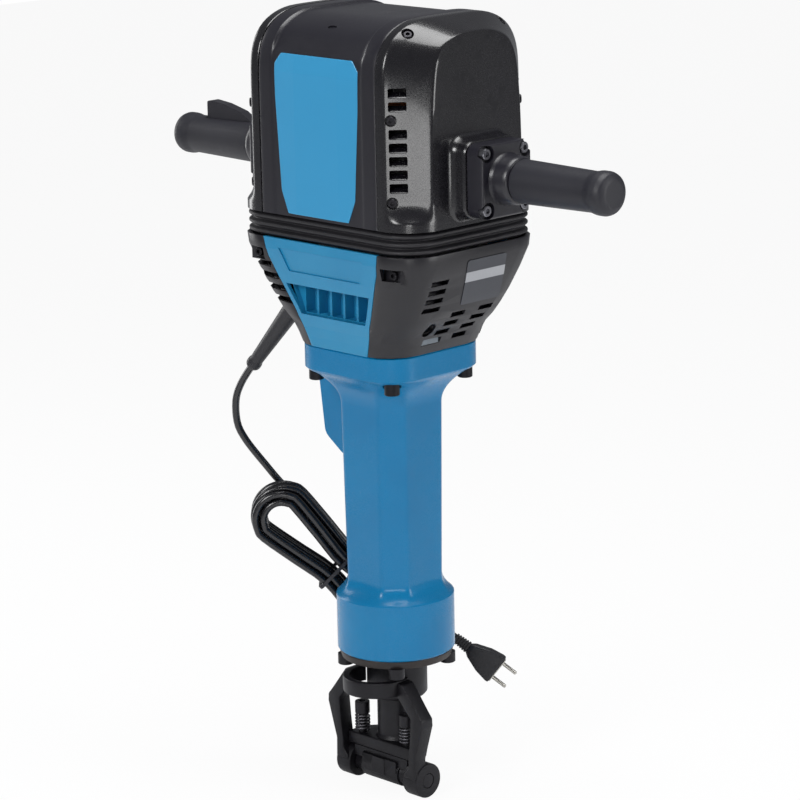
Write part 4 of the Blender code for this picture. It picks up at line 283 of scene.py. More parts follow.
FINISHES, SLOTS = {}, {}
for finish_name, slot_name, maker, *values in (
        ("casting_blue", "blue_casting", painted_casting, (6, 122, 173), (3, 113, 164), 0.2),
        ("cover_blue", "blue_casting", painted_casting, (38, 138, 182), (30, 129, 174), 0.26),
        ("panel_paint", "panel_blue", panel_paint),
        ("satin_black", "black_plastic", moulded, (29, 28, 36), (21, 20, 28), 0.36, 1100.0, 0.00012, 0.2,
         0.2),
        ("cover_black", "black_plastic", moulded, (27, 26, 31), (20, 19, 24), 0.36, 900.0, 0.00014),
        ("gloss_black", "gloss_black", moulded, (20, 19, 24), (13, 12, 16), 0.27, 750.0, 0.00014, 0.5, 0.1),
        ("bellows_rubber", "rubber", moulded, (33, 32, 36), (25, 24, 28), 0.52, 600.0, 0.0002),
        ("grip_rubber", "rubber", moulded, (34, 34, 42), (26, 26, 33), 0.5, 1300.0, 0.00016),
        ("guard_rubber", "rubber", moulded, (38, 38, 43), (30, 30, 34), 0.45, 900.0, 0.00015),
        ("forged_black", "dark_steel", metal, (27, 26, 31), (20, 19, 23), 0.4, 0.4, 650.0, 0.00022),
        ("ring_black", "dark_steel", metal, (54, 49, 47), (44, 40, 39), 0.45, 0.4, 500.0, 0.0002),
        ("screw_black", "dark_steel", metal, (38, 37, 41), (28, 27, 31), 0.34, 0.7, 900.0, 0.00008),
        ("screw_steel", "steel", metal, (138, 138, 143), (108, 108, 114), 0.3, 0.95, 900.0, 0.00008),
        ("spring_steel", "steel", metal, (112, 111, 115), (84, 83, 88), 0.33, 0.9, 700.0, 0.0001),
        ("ground_steel", "steel", metal, (170, 170, 173), (148, 148, 152), 0.26, 1.0, 300.0, 0.00008,
         (1.0, 1.0, 6.0)),
        ("cast_alloy", "cast_alloy", metal, (152, 152, 150), (132, 132, 131), 0.5, 0.85, 420.0, 0.0004),
        ("nickel", "nickel", metal, (205, 202, 194), (186, 183, 176), 0.22, 1.0, 500.0, 0.00005),
        ("winding", "winding", winding), ("clear_lens", "clear_lens", clear_lens),
        ("cord_sheath", "rubber", cord_sheath), ("rating_label", "steel", rating_label)):
    FINISHES[finish_name] = maker(finish_name, *values)
    SLOTS[finish_name] = slot_name


# ---------------------------------------------------------------- shaping
def shown(name, thing, finish, body, replaced=()):
    """Gives a finished object its finish, its body and the CAD nodes that it stands for.

    Two bodies with a low and a high point leave the piece on no body, its transform baked into its mesh.
    """
    thing.name = name
    thing.data.materials.clear()
    thing.data.materials.append(FINISHES[finish])
    if isinstance(body, str):
        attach(thing, body)
    else:
        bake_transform(thing)
    if replaced:
        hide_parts(*replaced)
    return thing


def meshed(name, bm):
    """The bmesh as a mesh; the bmesh is freed."""
    mesh = bpy.data.meshes.new(name)
    bm.to_mesh(mesh)
    bm.free()
    return mesh


def linked(name, data):
    """A new object of the scene with this mesh, curve, lamp or camera."""
    thing = bpy.data.objects.new(name, data)
    bpy.context.scene.collection.objects.link(thing)
    return thing


def piece(name, bm, finish, body, replaced=(), crease=32.0):
    """Turns a bmesh into a smooth-shaded piece whose edges stay sharp past the crease angle."""
    bmesh.ops.remove_doubles(bm, verts=bm.verts, dist=2e-6)
    bmesh.ops.dissolve_degenerate(bm, edges=bm.edges, dist=1e-6)
    bmesh.ops.recalc_face_normals(bm, faces=bm.faces)
    mesh = meshed(name, bm)
    mesh.shade_smooth()
    mesh.set_sharp_from_angle(angle=math.radians(crease))
    return shown(name, linked(name, mesh), finish, body, replaced)


def skin(node, bm, finish, crease=32.0):
    """A piece that stands for one CAD node and moves with it."""
    return piece(f"{node}_skin", bm, finish, body_of(node), (node,), crease)


def filled(bm):
    """Merges what meets, closes every hole and turns the faces outwards."""
    bmesh.ops.remove_doubles(bm, verts=bm.verts, dist=2e-6)
    bmesh.ops.holes_fill(bm, edges=[edge for edge in bm.edges if edge.is_boundary], sides=0)
    bmesh.ops.recalc_face_normals(bm, faces=bm.faces)
    return bm


def turned(profile, steps=64):
    """Solid of revolution about Z from its (radius, height) points."""
    bm = bmesh.new()
    verts = [bm.verts.new((radius, 0.0, height)) for radius, height in profile]
    edges = [bm.edges.new(pair) for pair in zip(verts, verts[1:])]
    bmesh.ops.spin(bm, geom=verts + edges, cent=(0, 0, 0), axis=(0, 0, 1), angle=math.tau, steps=steps,
        use_merge=True)
    return filled(bm)


def hoop(profile, steps):
    """A ring turned from a closed profile."""
    return turned(profile + profile[:1], steps)


def moved(bm, offset=(0.0, 0.0, 0.0), turn=None):
    """Turns the piece about the origin, then shifts it."""
    if turn is not None:
        bmesh.ops.transform(bm, matrix=turn.to_4x4(), verts=bm.verts)
    bmesh.ops.translate(bm, verts=bm.verts, vec=offset)
    return bm


def aimed(bm, start, direction):
    """Moves a piece that was turned about Z so that its axis leaves start in the direction."""
    turn = Vector(direction).to_track_quat("Z", "Y").to_matrix()
    return moved(bm, start, turn)


def mirrored(bm, axis="X"):
    """The piece's mirror image, in its place."""
    factor = (-1.0, 1.0, 1.0) if axis == "X" else (1.0, -1.0, 1.0)
    bmesh.ops.scale(bm, vec=factor, verts=bm.verts)
    bmesh.ops.reverse_faces(bm, faces=bm.faces)
    return bm


def on_side(bm, side):
    """A piece drawn for the right, on the side that is asked for: 1 right, -1 left."""
    return mirrored(bm) if side < 0 else bm


def joined(*parts):
    """One bmesh with all the parts, each left as it is."""
    made = bmesh.new()
    for part in parts:
        mesh = meshed("part", part)
        made.from_mesh(mesh)
        bpy.data.meshes.remove(mesh)
    return made


def lofted(levels, count, outline, closed=True):
    """Skin through the levels: outline(level, index) gives point number index of a section."""
    bm = bmesh.new()
    rows = len(levels) - 1
    bmesh.ops.create_grid(bm, x_segments=count, y_segments=rows, size=1.0)
    for vert in bm.verts:
        index = round((vert.co.x + 1.0) / 2.0 * count)
        row = round((vert.co.y + 1.0) / 2.0 * rows)
        vert.co = outline(levels[row], index)
    return filled(bm) if closed else bm


def round_box(half_a, half_b, corner, index, steps):
    """Point number index of a rounded rectangle, with steps + 1 points to each corner."""
    quarter, step = divmod(index % (4 * (steps + 1)), steps + 1)
    angle = math.radians(90.0) * (quarter + step / steps)
    side_a = (1, -1, -1, 1)[quarter] * (half_a - corner)
    side_b = (1, 1, -1, -1)[quarter] * (half_b - corner)
    return side_a + corner * math.cos(angle), side_b + corner * math.sin(angle)


def box_skin(levels, steps, spot):
    """Skin through rounded rectangles: each level is (place, half_a, half_b, corner)."""
    def point(level, index):
        place, half_a, half_b, corner = level
        return Vector(spot(place, *round_box(half_a, half_b, corner, index, steps)))

    return lofted(levels, 4 * (steps + 1), point)


def grown(half_a, half_b, corner, steps):
    """Levels of one rounded rectangle: steps are (place, how much it grows there)."""
    return [(place, half_a + more, half_b + more, corner + more) for place, more in steps]


def across_z(height, a, b):
    """A point of a level section."""
    return a, b, height


def on_bracket(x, a, b):
    """A point of a section across the handle's axis, at the bracket's height."""
    return x, a, BRACKET_Z + b


def mm(*points):
    """Points that are given in millimetres."""
    return [tuple(value / 1000 for value in point) for point in points]


def eased(points, radius, steps=3):
    """The path with each inner corner replaced by a small curve, always of the same number of points."""
    path = [Vector(point) for point in points]
    made = [path[0]]
    for before, corner, after in zip(path, path[1:], path[2:]):
        back = before - corner
        ahead = after - corner
        reach_back = min(radius, back.length * 0.48)
        reach_ahead = min(radius, ahead.length * 0.48)
        first = corner + back.normalized() * reach_back
        last = corner + ahead.normalized() * reach_ahead
        for step in range(steps + 1):
            share = step / steps
            made.append(first.lerp(corner, share).lerp(corner.lerp(last, share), share))
    return made + [path[-1]]


def slab(outline, low, high, plane="XZ"):
    """A flat outline given thickness along the axis that its plane leaves out."""
    order = {"XZ": (0, 2, 1), "YZ": (2, 0, 1), "XY": (0, 1, 2)}[plane]

    def spot(*place):
        return [place[index] for index in order]

    bm = bmesh.new()
    face = bm.faces.new([bm.verts.new(spot(a, b, low)) for a, b in outline])
    raised = bmesh.ops.extrude_face_region(bm, geom=[face])["geom"]
    verts = [item for item in raised if isinstance(item, bmesh.types.BMVert)]
    bmesh.ops.translate(bm, verts=verts, vec=spot(0.0, 0.0, high - low))
    return filled(bm)


def block(low, high):
    """A box between two opposite corners."""
    bm = bmesh.new()
    bmesh.ops.create_cube(bm, size=1.0)
    middle = (Vector(low) + Vector(high)) / 2
    bmesh.ops.scale(bm, vec=Vector(high) - Vector(low), verts=bm.verts)
    return moved(bm, middle)


def everything(bm):
    """All faces, edges and corners, for an operator that takes them in one list."""
    return bm.faces[:] + bm.edges[:] + bm.verts[:]


def sliced(bm, axis, places):
    """Adds edges where the planes across the axis cut the piece."""
    for place in places:
        bmesh.ops.bisect_plane(bm, geom=everything(bm), plane_co=Vector(axis) * place, plane_no=axis)
    return bm


def softened(bm, width, segments=2, angle=32.0):
    """Rounds the edges that turn by more than the angle."""
    least = {vert: min(edge.calc_length() for edge in vert.link_edges) for vert in bm.verts
        if vert.link_edges}
    edges = [edge for edge in bm.edges if edge.is_manifold and edge.calc_face_angle(0.0) > math.radians(angle)
        and min(least[vert] for vert in edge.verts) > 2.2 * width]
    bmesh.ops.bevel(bm, geom=edges, offset=width, offset_type="OFFSET", segments=segments, profile=0.5,
        affect="EDGES", clamp_overlap=False, material=-1)
    return bm


def held(bm):
    """The bmesh as a plain object, for a boolean or the floor."""
    return linked("held", meshed("held", bm))


def carved(bm, *tools, operation="DIFFERENCE"):
    """The mesh with the tools cut out of it, or joined to it."""
    base = held(bm)
    things = [held(tool) for tool in tools]
    for thing in things:
        step = base.modifiers.new("carve", "BOOLEAN")
        step.operation = operation
        step.solver = "EXACT"
        step.object = thing
    made = bmesh.new()
    made.from_object(base, bpy.context.evaluated_depsgraph_get())
    for thing in [base, *things]:
        mesh = thing.data
        bpy.data.objects.remove(thing)
        bpy.data.meshes.remove(mesh)
    return made


def cad_shape(node, whole=True):
    """A merged copy of a CAD node's mesh, its flat faces made whole where they have no holes."""
    bm = bmesh.new()
    bm.from_mesh(NODES[node].data)
    bmesh.ops.remove_doubles(bm, verts=bm.verts, dist=1e-5)
    if whole:
        bmesh.ops.dissolve_limit(bm, angle_limit=math.radians(0.6), verts=bm.verts, edges=bm.edges)
    return bm


def dressed_copy(node, finish, width=0.0006, segments=2, angle=34.0, crease=32.0):
    """The CAD node's own shape with its edges rounded."""
    bm = cad_shape(node, width > 0.0)
    if width:
        softened(bm, width, segments, angle)
    return skin(node, bm, finish, crease)


def tube_curve(name, points, radius, sides):
    """A tube of even thickness along the points, as a curve of one spline."""
    curve = bpy.data.curves.new(name, "CURVE")
    curve.dimensions = "3D"
    curve.bevel_depth = radius
    curve.bevel_resolution = sides
    curve.use_fill_caps = True
    spline = curve.splines.new("POLY")
    spline.points.add(len(points) - 1)
    for knot, point in zip(spline.points, points):
        knot.co = (*point, 1.0)
    spline.use_smooth = True
    return linked(name, curve)


def wound_tube(name, points, radius, finish, body, replaced=(), sides=8):
    """A tube along the points that stays a curve."""
    return shown(name, tube_curve(name, points, radius, sides), finish, body, replaced)


def coil_spring(node, middle, radius, low, high, turns, wire, body):
    """A coil spring along Z that stands for a CAD node."""
    steps = turns * 24
    points = []
    for step in range(steps + 1):
        turn = math.tau * turns * step / steps
        points.append((middle[0] + radius * math.cos(turn), middle[1] + radius * math.sin(turn),
            low + (high - low) * step / steps))
    drawn = tube_curve(f"{node}_line", points, wire, 3)
    mesh = bpy.data.meshes.new_from_object(drawn)
    bpy.data.objects.remove(drawn)
    name = f"{node}_wire"
    return shown(name, linked(name, mesh), "spring_steel", body, (node,))


def smooth_run(path, parts):
    """Points of a smooth curve from the path's second point to its last but one."""
    made = []
    for a, b, c, d in zip(path, path[1:], path[2:], path[3:]):
        for step in range(parts):
            t = step / parts
            made.append(0.5 * (2 * b + (c - a) * t + (2 * a - 5 * b + 4 * c - d) * t * t
                + (3 * b - a - 3 * c + d) * t ** 3))
    return made + [path[-2]]


def finer(points, parts):
    """More points along the same smooth run."""
    return smooth_run([2 * points[0] - points[1], *points, 2 * points[-1] - points[-2]], parts)


# ---------------------------------------------------------------- screws
def screw_head(radius, height, socket, depth):
    """A cap screw's head standing on Z = 0, with its hexagon socket."""
    body = turned([(0.0, 0.0), (radius, 0.0), (radius, height - 0.0008), (radius - 0.0008, height),
        (0.0, height)], 28)
    key = bmesh.new()
    bmesh.ops.create_cone(key, cap_ends=True, segments=6, radius1=socket, radius2=socket, depth=2 * depth)
    return carved(body, moved(key, (0.0, 0.0, height)))


def screws(name, spots, finish, body, radius, height, socket, replaced=()):
    """One object for a group of like screws; spots are (seat, direction) pairs."""
    parts = [aimed(screw_head(radius, height, socket, height * 0.5), seat, direction) for seat,
        direction in spots]
    return piece(name, joined(*parts), finish, body, replaced)


# ---------------------------------------------------------------- barrel, nose and bit retainer
BARREL_COLUMNS = 192


def octagon_reach(angle, half):
    """Distance to the octagonal barrel's skin, its edges slightly rounded."""
    cosine, sine = abs(math.cos(angle)), abs(math.sin(angle))
    planes = [cosine / half, sine / half, (cosine + sine) / (2 * half - 0.0205)]
    return sum(plane ** 60 for plane in planes) ** (-1 / 60)


def flange_reach(angle, half_x, half_y, corner):
    """Distance to a rounded rectangle's outline."""
    cosine, sine = abs(math.cos(angle)), abs(math.sin(angle))
    along_x = half_x / max(cosine, 1e-9)
    along_y = half_y / max(sine, 1e-9)
    if along_x * sine <= half_y - corner:
        return along_x
    if along_y * cosine <= half_x - corner:
        return along_y
    middle = Vector((half_x - corner, half_y - corner))
    ahead = middle.dot(Vector((cosine, sine)))
    return ahead + math.sqrt(max(0.0, ahead ** 2 - middle.length_squared + corner ** 2))


def barrel_point(z, index):
    """Point of the barrel's skin: collar, shoulder, octagon, flare and flange, from the bottom up."""
    angle = math.tau * (index % BARREL_COLUMNS) / BARREL_COLUMNS
    if z < 0.1763:
        edge = max(0.0, 0.1158 - z) + max(0.0, z - 0.1743) * 0.9
        reach = 0.0628 - 0.9 * edge
    elif z < 0.195:
        share = (z - 0.1763) / 0.0187
        octagon = octagon_reach(angle, 0.0456)
        reach = octagon + (0.061 - octagon) * (1.0 - share) ** 2.3
    elif z < 0.385:
        reach = octagon_reach(angle, 0.0455 + 0.002 * (z - 0.195) / 0.19)
    elif z < 0.421:
        share = (z - 0.385) / 0.036
        octagon = octagon_reach(angle, 0.0475 + 0.001 * share)
        reach = octagon + (flange_reach(angle, 0.0725, 0.0705, 0.037) - octagon) * share ** 2.1
    else:
        grow = min(0.0, (z - 0.4235) * 0.8) - max(0.0, z - 0.4475)
        reach = flange_reach(angle, 0.0755 + grow, 0.0735 + grow, 0.038)
    return Vector((reach * math.cos(angle), reach * math.sin(angle), z))


def barrel():
    """Octagonal barrel between the round collar and the bolted flange, with the lug on its left."""
    levels = [0.1143, 0.1148, 0.1158, 0.135, 0.155, 0.1743, 0.1753, 0.1763]
    levels += [0.1763 + 0.0187 * step / 10 for step in range(1, 11)]
    levels += [0.22, 0.26, 0.3, 0.34, 0.37, 0.385]
    levels += [0.385 + 0.036 * step / 14 for step in range(1, 15)]
    levels += [0.4222, 0.4235, 0.436, 0.4475, 0.449]
    bm = lofted(levels, BARREL_COLUMNS, barrel_point)
    lug = slab(eased(mm((-30, 318), (-55, 318), (-83, 338), (-92, 412), (-30, 412)),
        0.006), -0.018, 0.018)
    softened(lug, 0.003, 3, 40)
    bore = turned(mm((0, 460), (42.4, 460), (42.4, 442), (36, 442), (36, 158.6),
        (34.8, 158.6), (34.8, 100), (0, 100)), 48)
    pocket = mm((0, 381), (9.8, 381), (9.8, 421), (0, 421))
    pockets = [moved(turned(pocket, 24), (x, y, 0.0)) for x, y in FLANGE_BOLTS]
    bm = carved(bm, lug, operation="UNION")
    bm = carved(bm, bore, joined(*pockets))
    piece("barrel_skin", bm, "casting_blue", "hammer", ("barrel_housing",), crease=38.0)
    spots = [((x, y, 0.421), (0, 0, -1)) for x, y in FLANGE_BOLTS]
    screws("flange_bolts", spots, "screw_black", "hammer", 0.008, 0.013, 0.0045)


def nose():
    """Nose housing with its thin ring under the collar and the bolt heads below it."""
    profile = eased(mm((26.3, 158.3), (34.5, 158.3), (34.5, 114), (59.8, 114), (60.4, 112.8),
        (58.2, 106), (33.5, 106), (32.5, 104), (32.5, 63.5), (29.5, 60),
        (22.3, 60), (22.3, 66), (26.3, 66)), 0.0008)
    bm = hoop(profile, 80)
    piece("nose_skin", bm, "forged_black", "hammer", ("nose_housing",))
    band = hoop(eased(mm((55, 114.1), (60.6, 114.1), (61.1, 112.8), (58.8, 105.3),
        (55, 105.3)), 0.0006), 96)
    piece("nose_ring", band, "ring_black", "hammer")
    spots = [((x, y, 0.1057), (0, 0, -1)) for x in (0.0385, -0.0385) for y in (0.0385, -0.0385)]
    screws("nose_bolt_heads", spots, "forged_black", "hammer", 0.0085, 0.0117, 0.0045,
           ("nose_bolt_1", "nose_bolt_2", "nose_bolt_3", "nose_bolt_4"))


def bit_socket():
    """Nose plate and neck with the hexagon bore for the bit."""
    outline = mm((48, -28.5), (48, -6), (34, 10), (20, 24), (-20, 24),
        (-34, 10), (-48, -6), (-48, -28.5))
    plate = softened(slab(outline, 0.0, 0.013, "XY"), 0.0014, 3, 25)
    neck = turned(eased(mm((0, 160.3), (25.7, 160.3), (25.7, 66.4), (22, 66.4),
        (22, 17), (25, 12), (0, 12)), 0.001), 72)
    bm = carved(plate, neck, operation="UNION")
    hexagon = [(0.0165 * math.cos(math.radians(60 * k)), 0.0165 * math.sin(math.radians(60 * k)))
        for k in range(6)]
    bm = carved(bm, slab(hexagon, -0.01, 0.15, "XY"))
    piece("bit_socket_skin", bm, "forged_black", "hammer", ("bit_sleeve",))


def retainer_lip():
    """The hook that closes over the bit's collar: a rounded bar swept through part of a turn."""
    section = [round_box(0.0085, 0.004, 0.0016, index, 3) for index in range(16)]
    bm = bmesh.new()
    start = math.radians(160.0)
    aim = Vector((math.cos(start), math.sin(start), 0.0))
    middle = Vector((0.0, -0.03, 0.0805))
    verts = [bm.verts.new(middle + aim * (0.0327 + across) + Vector((0, 0, up))) for up, across in section]
    face = bm.faces.new(verts)
    bmesh.ops.spin(bm, geom=[face], cent=middle, axis=(0, 0, 1), angle=math.radians(220.0), steps=56)
    return filled(bm)


def retainer():
    """Swinging yoke: lip, two cranked arms and their ears, and the pin with its roll pins."""
    outline = mm((42.5, -17), (60, -17), (59.5, 4), (71.3, 44), (70.8, 52),
        (64, 60), (43, 86.8), (31, 88.3), (31, 76), (54.5, 50), (52.5, 26),
        (49.7, 3), (49.7, -5.2), (42.5, -13))
    arm = softened(slab(outline, -0.0358, -0.0182), 0.0016, 3, 12)
    ear = hoop(eased(mm((8.3, 0), (18.8, 0), (18.8, 20.5), (8.3, 20.5)), 0.0016), 56)
    aimed(ear, PIN_AT + Vector((0.0404, 0.0, 0.0)), (1, 0, 0))
    bm = joined(retainer_lip(), arm.copy(), mirrored(arm), ear.copy(), mirrored(ear))
    piece("retainer_skin", bm, "forged_black", "retainer", ("bit_retainer",), crease=28.0)
    pin = eased(mm((0, -60.7), (7.9, -60.7), (7.9, 60.7), (0, 60.7)), 0.0009)
    bar = aimed(turned(pin, 40), PIN_AT, (1, 0, 0))
    bit_way = turned(mm((0, -70), (17.3, -70), (17.3, 10), (0, 10)), 40)
    cross = []
    aim = Vector((0.0, -math.cos(math.radians(20.0)), -math.sin(math.radians(20.0))))
    for side in (-1, 1):
        tube = hoop(mm((1.1, 0), (2.2, 0), (2.2, 16.5), (1.1, 16.5)), 20)
        cross.append(aimed(tube, PIN_AT + Vector((side * 0.0507, 0.0, 0.0)) + aim * 0.002, aim))
    piece("retainer_pin_skin", joined(carved(bar, bit_way), *cross), "forged_black", "retainer",
        ("retainer_pin",))


def pivot():
    """Pivot block on its two bolts, with their springs."""
    dressed_copy("pivot_block", "forged_black", 0.0007, 2, 30.0)
    for index, side in ((1, 1), (2, -1)):
        name = f"cushion_bolt_{index}"
        head = turned(eased(mm((0, 43), (3.5, 43), (3.5, 48), (8, 48),
            (8, 34.5), (4.5, 34.5), (4.5, -8.8), (0, -8.8)), 0.0007), 40)
        x = side * CUSHION_X
        moved(head, (x, CUSHION_Y, 0.0))
        skin(name, head, "forged_black")
        low, high, travel = 0.0157, 0.0331, 0.006
        node = f"cushion_spring_{index}"
        spring = coil_spring(node, (x, CUSHION_Y), 0.0072, low, high, 5, 0.0012, body_of(node))
        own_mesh(spring)


# ---------------------------------------------------------------- lower housing
def bellows():
    """Three folds between the hammer and the handle frame."""
    low, high, rows, wall = 0.5643, 0.5887, 48, 0.003
    levels = []
    for step in range(rows + 1):
        valley = abs(math.cos(3 * math.pi * step / rows)) ** 3.2
        levels.append((low + (high - low) * step / rows, -0.0015 - 0.0048 * valley))
    inner = [(height, more - wall) for height, more in reversed(levels[::4])]
    folds = grown(0.131, 0.099, FOOT_CORNER, levels + inner + levels[:1])
    bm = box_skin(folds, 14, across_z)
    between = ("hammer", "handle_frame", (0.0, 0.0, low), (0.0, 0.0, high))
    piece("bellows_skin", bm, "bellows_rubber", between, ("bellows",), crease=60.0)


def suspension_springs():
    """Springs round the guide rods that carry the handle frame."""
    low, high = 0.5957, 0.6883
    for index, side in ((1, -1), (2, 1)):
        spot = (0.0, side * GUIDE_Y)
        coil_spring(f"suspension_spring_{index}", spot, 0.0101, low, high, 9, 0.0014,
            ("hammer", "handle_frame", (*spot, low), (*spot, high)))


LOWER_SIZES = ([0.449, 0.46, 0.471, 0.481, 0.491, 0.507, 0.53, 0.552, 0.564],
    [0.0765, 0.081, 0.087, 0.096, 0.103, 0.112, 0.122, 0.13, 0.131],
    [0.0745, 0.076, 0.078, 0.081, 0.083, 0.087, 0.093, 0.098, 0.099])


def lower_sizes(z):
    """Half width and half depth of the lower housing at a height."""
    heights, widths, depths = LOWER_SIZES
    return float(np.interp(z, heights, widths)), float(np.interp(z, heights, depths))


def air_baffle(side):
    """Dark wall behind the slots, from the front round the corner and along the side."""
    def point(z, index):
        half_x, half_y = (size - 0.0085 for size in lower_sizes(z))
        corner = 0.031
        if index == 0:
            seam = float(np.interp(z, [0.44, 0.449, 0.484, 0.516, 0.543, 0.566],
                [0.038, 0.041, 0.053, 0.067, 0.079, 0.0865]))
            x, y = min(seam + 0.0015, half_x - corner - 0.0005), -half_y
        elif index == 12:
            x, y = half_x, 0.062
        else:
            angle = math.radians(9.0 * (index - 1) - 90.0)
            x, y = half_x - corner + corner * math.cos(angle), corner - half_y + corner * math.sin(angle)
        return Vector((x, y, z))

    bm = lofted([0.4555, 0.471, 0.481, 0.491, 0.507, 0.518, 0.53, 0.5435], 12, point, closed=False)
    bmesh.ops.recalc_face_normals(bm, faces=bm.faces)
    bmesh.ops.solidify(bm, geom=everything(bm), thickness=0.0008)
    seat = block((0.0835, -0.0886, 0.536), (0.1125, -0.0855, 0.5525))
    piece(f"air_baffle_{SIDES[side]}", on_side(joined(bm, seat), side), "cover_black",
          body_of("lower_cover_right"))


def rating_plate():
    """Bare plate on the right-hand cover, bent to its slope."""
    outline = [round_box(0.0285, 0.025, 0.003, index, 5) for index in range(24)]
    bm = slab([(0.0125 + a, 0.527 + b) for a, b in outline], 0.0, 0.0007, "YZ")
    sliced(bm, (0, 0, 1), (0.507, 0.5125, 0.518, 0.524, 0.53, 0.5375, 0.545))
    for vert in bm.verts:
        vert.co.y += (0.552 - vert.co.z) * 0.17
        vert.co.x += lower_sizes(vert.co.z)[0] + 0.0001
    piece("rating_plate", bm, "rating_label", body_of("lower_cover_right"), crease=40.0)


def lower_covers():
    """The four lower covers, and what stands on and behind them."""
    for side in ("right", "left"):
        dressed_copy(f"lower_cover_{side}", "cover_black", 0.0006, 2, 34.0)
    for end in ("front", "rear"):
        dressed_copy(f"{end}_cover", "cover_blue", 0.0, crease=9.0)
    for side in SIDES:
        air_baffle(side)
    rating_plate()
    screws("front_cover_screws", [((side * 0.099, -0.0884, 0.5445), (0, -1, 0)) for side in (-1, 1)],
        "screw_black", body_of("lower_cover_right"), 0.0048, 0.0042, 0.0024)


# ---------------------------------------------------------------- upper casing
# half arch of the casing, foot to crown: outer skin (Y, Z), then the side cover's pad (Y, Z)
ARCH = [Vector(spot) / 1000 for spot in ((98.5, 589.3, 65.5, 589.3), (98.5, 594, 65.5, 594),
    (98.5, 598, 65.5, 598), (98.5, 600.5, 65.5, 600.5), (98.5, 602.5, 65.5, 602.5), (98.5, 605, 65.5, 605),
    (98.5, 608, 65.5, 608), (98.5, 612, 65.5, 612), (98.5, 617, 65.4, 617), (98.5, 625, 65.3, 625),
    (98.5, 645, 65, 645), (98.5, 670, 64.6, 670), (98.5, 700, 63.4, 700), (98.5, 722, 61.8, 721),
    (98.2, 738, 60.0, 738), (97.0, 751, 57.6, 751.5), (93.8, 763, 53.6, 762.5), (88.0, 773.5, 47.6, 770.8),
    (79.6, 782.3, 39.4, 776.2), (68.5, 789, 30.0, 779.6), (55.5, 793.7, 21.0, 781.6),
    (41.0, 796.2, 13.5, 782.4), (21.0, 796.9, 6.5, 782.8), (0.0, 797.0, 0.0, 783.0))]


def whole_arch(parts=2):
    """The arch as smooth rows from the front foot over the crown to the rear foot."""
    half = finer(ARCH, parts)
    return [(-a, b, -c, d) for a, b, c, d in half] + [tuple(row) for row in reversed(half[:-1])]


def pushed_in(row, depth):
    """A point of the outer arch, moved towards the machine's middle."""
    y, z = row[0], row[1]
    if z < ARCH_FOOT:
        return math.copysign(abs(y) - depth, y), z
    middle = Vector((math.copysign(0.04, y) if abs(y) > 0.04 else y, ARCH_FOOT))
    aim = Vector((y, z)) - middle
    return tuple(Vector((y, z)) - aim.normalized() * depth)


def band_rail(row):
    """Columns of the centre band from its middle to its edge, as (X, depth under the outer skin)."""
    z = row[1]
    sunk = 0.0005 + 0.0023 * min(1.0, max(0.0, (z - 0.7575) / 0.007))
    side = [(0.0, sunk), (0.02, sunk), (0.04, sunk), (0.06, sunk), (0.0632, sunk * 0.96),
        (0.0646, sunk * 0.75), (0.0656, sunk * 0.35), (0.0668, sunk * 0.07), (0.069, 0.0), (0.079, 0.0),
        (0.0822, 0.0001), (0.0834, 0.0004), (0.0841, 0.001), (0.0843, 0.0019)]
    return [(-x, depth) for x, depth in reversed(side[1:])] + side


def centre_band():
    """Black band over the top between two raised rails, with its eyes and the guide rods' bosses."""
    rows = whole_arch()
    count = len(band_rail(rows[0])) - 1

    def point(row, index):
        x, depth = band_rail(row)[index]
        return Vector((x, *pushed_in(row, depth)))

    bm = outward_solid(lofted(rows, count, point, closed=False), 0.0046)
    eye = []
    for y in (-0.0735, 0.0735):
        hole = turned(mm((0, -4), (2.6, -4), (3.4, 4), (0, 4)), 24)
        bmesh.ops.scale(hole, vec=(2.2, 1.0, 1.0), verts=hole.verts)
        lean = math.copysign(math.radians(38.0), -y)
        eye.append(moved(hole, (0.0, y, 0.7855), Matrix.Rotation(lean, 3, "X")))
    bm = carved(bm, joined(*eye))
    bosses = []
    for sign in (-1, 1):
        near, far = sorted((sign * 0.06, sign * 0.0945))
        boss = block((-0.014, near, 0.69), (0.014, far, 0.706))
        hole = moved(turned(mm((0, 680), (6.3, 680), (6.3, 720), (0, 720)), 24),
            (0.0, sign * GUIDE_Y, 0.0))
        bosses.append(carved(boss, hole))
    skin("upper_band", joined(bm, *bosses), "satin_black", crease=24.0)


def outward_solid(bm, thickness):
    """Gives an open skin a wall on its inner side."""
    bmesh.ops.recalc_face_normals(bm, faces=bm.faces)
    middle = Vector((0.0, 0.0, 0.68))
    facing = sum(1 if (face.calc_center_median() - middle).dot(face.normal) > 0 else -1 for face in bm.faces)
    if facing < 0:
        bmesh.ops.reverse_faces(bm, faces=bm.faces)
    bmesh.ops.solidify(bm, geom=everything(bm), thickness=thickness)
    return bm


def panel(side):
    """Front or rear panel: flat middle, a facet on each side and a top edge that follows the arch."""
    outline = mm((44, 592.5), (53.7, 615.5), (60.3, 713), (60.5, 746.2), (51.5, 756.5),
        (-51.5, 756.5), (-60.5, 746.2), (-60.3, 713), (-53.7, 615.5), (-44, 592.5))
    plate = slab(eased([*outline, outline[0]], 0.0012, 2)[:-1], -0.0996, -0.0962)
    sliced(sliced(plate, (0, 0, 1), (ARCH_FOOT,)), (1, 0, 0), (-FACET_X, FACET_X))
    for vert in plate.verts:
        facet = max(0.0, abs(vert.co.x) - FACET_X) * 0.052
        vert.co.y += facet + max(0.0, vert.co.z - ARCH_FOOT) * 0.1
    bm = softened(plate, 0.0004, 2, 50.0)
    if side > 0:
        bmesh.ops.rotate(bm, verts=bm.verts, matrix=Matrix.Rotation(math.pi, 3, "Z"))
    name = "front" if side < 0 else "rear"
    skin(f"{name}_panel", bm, "panel_paint", crease=1.5)


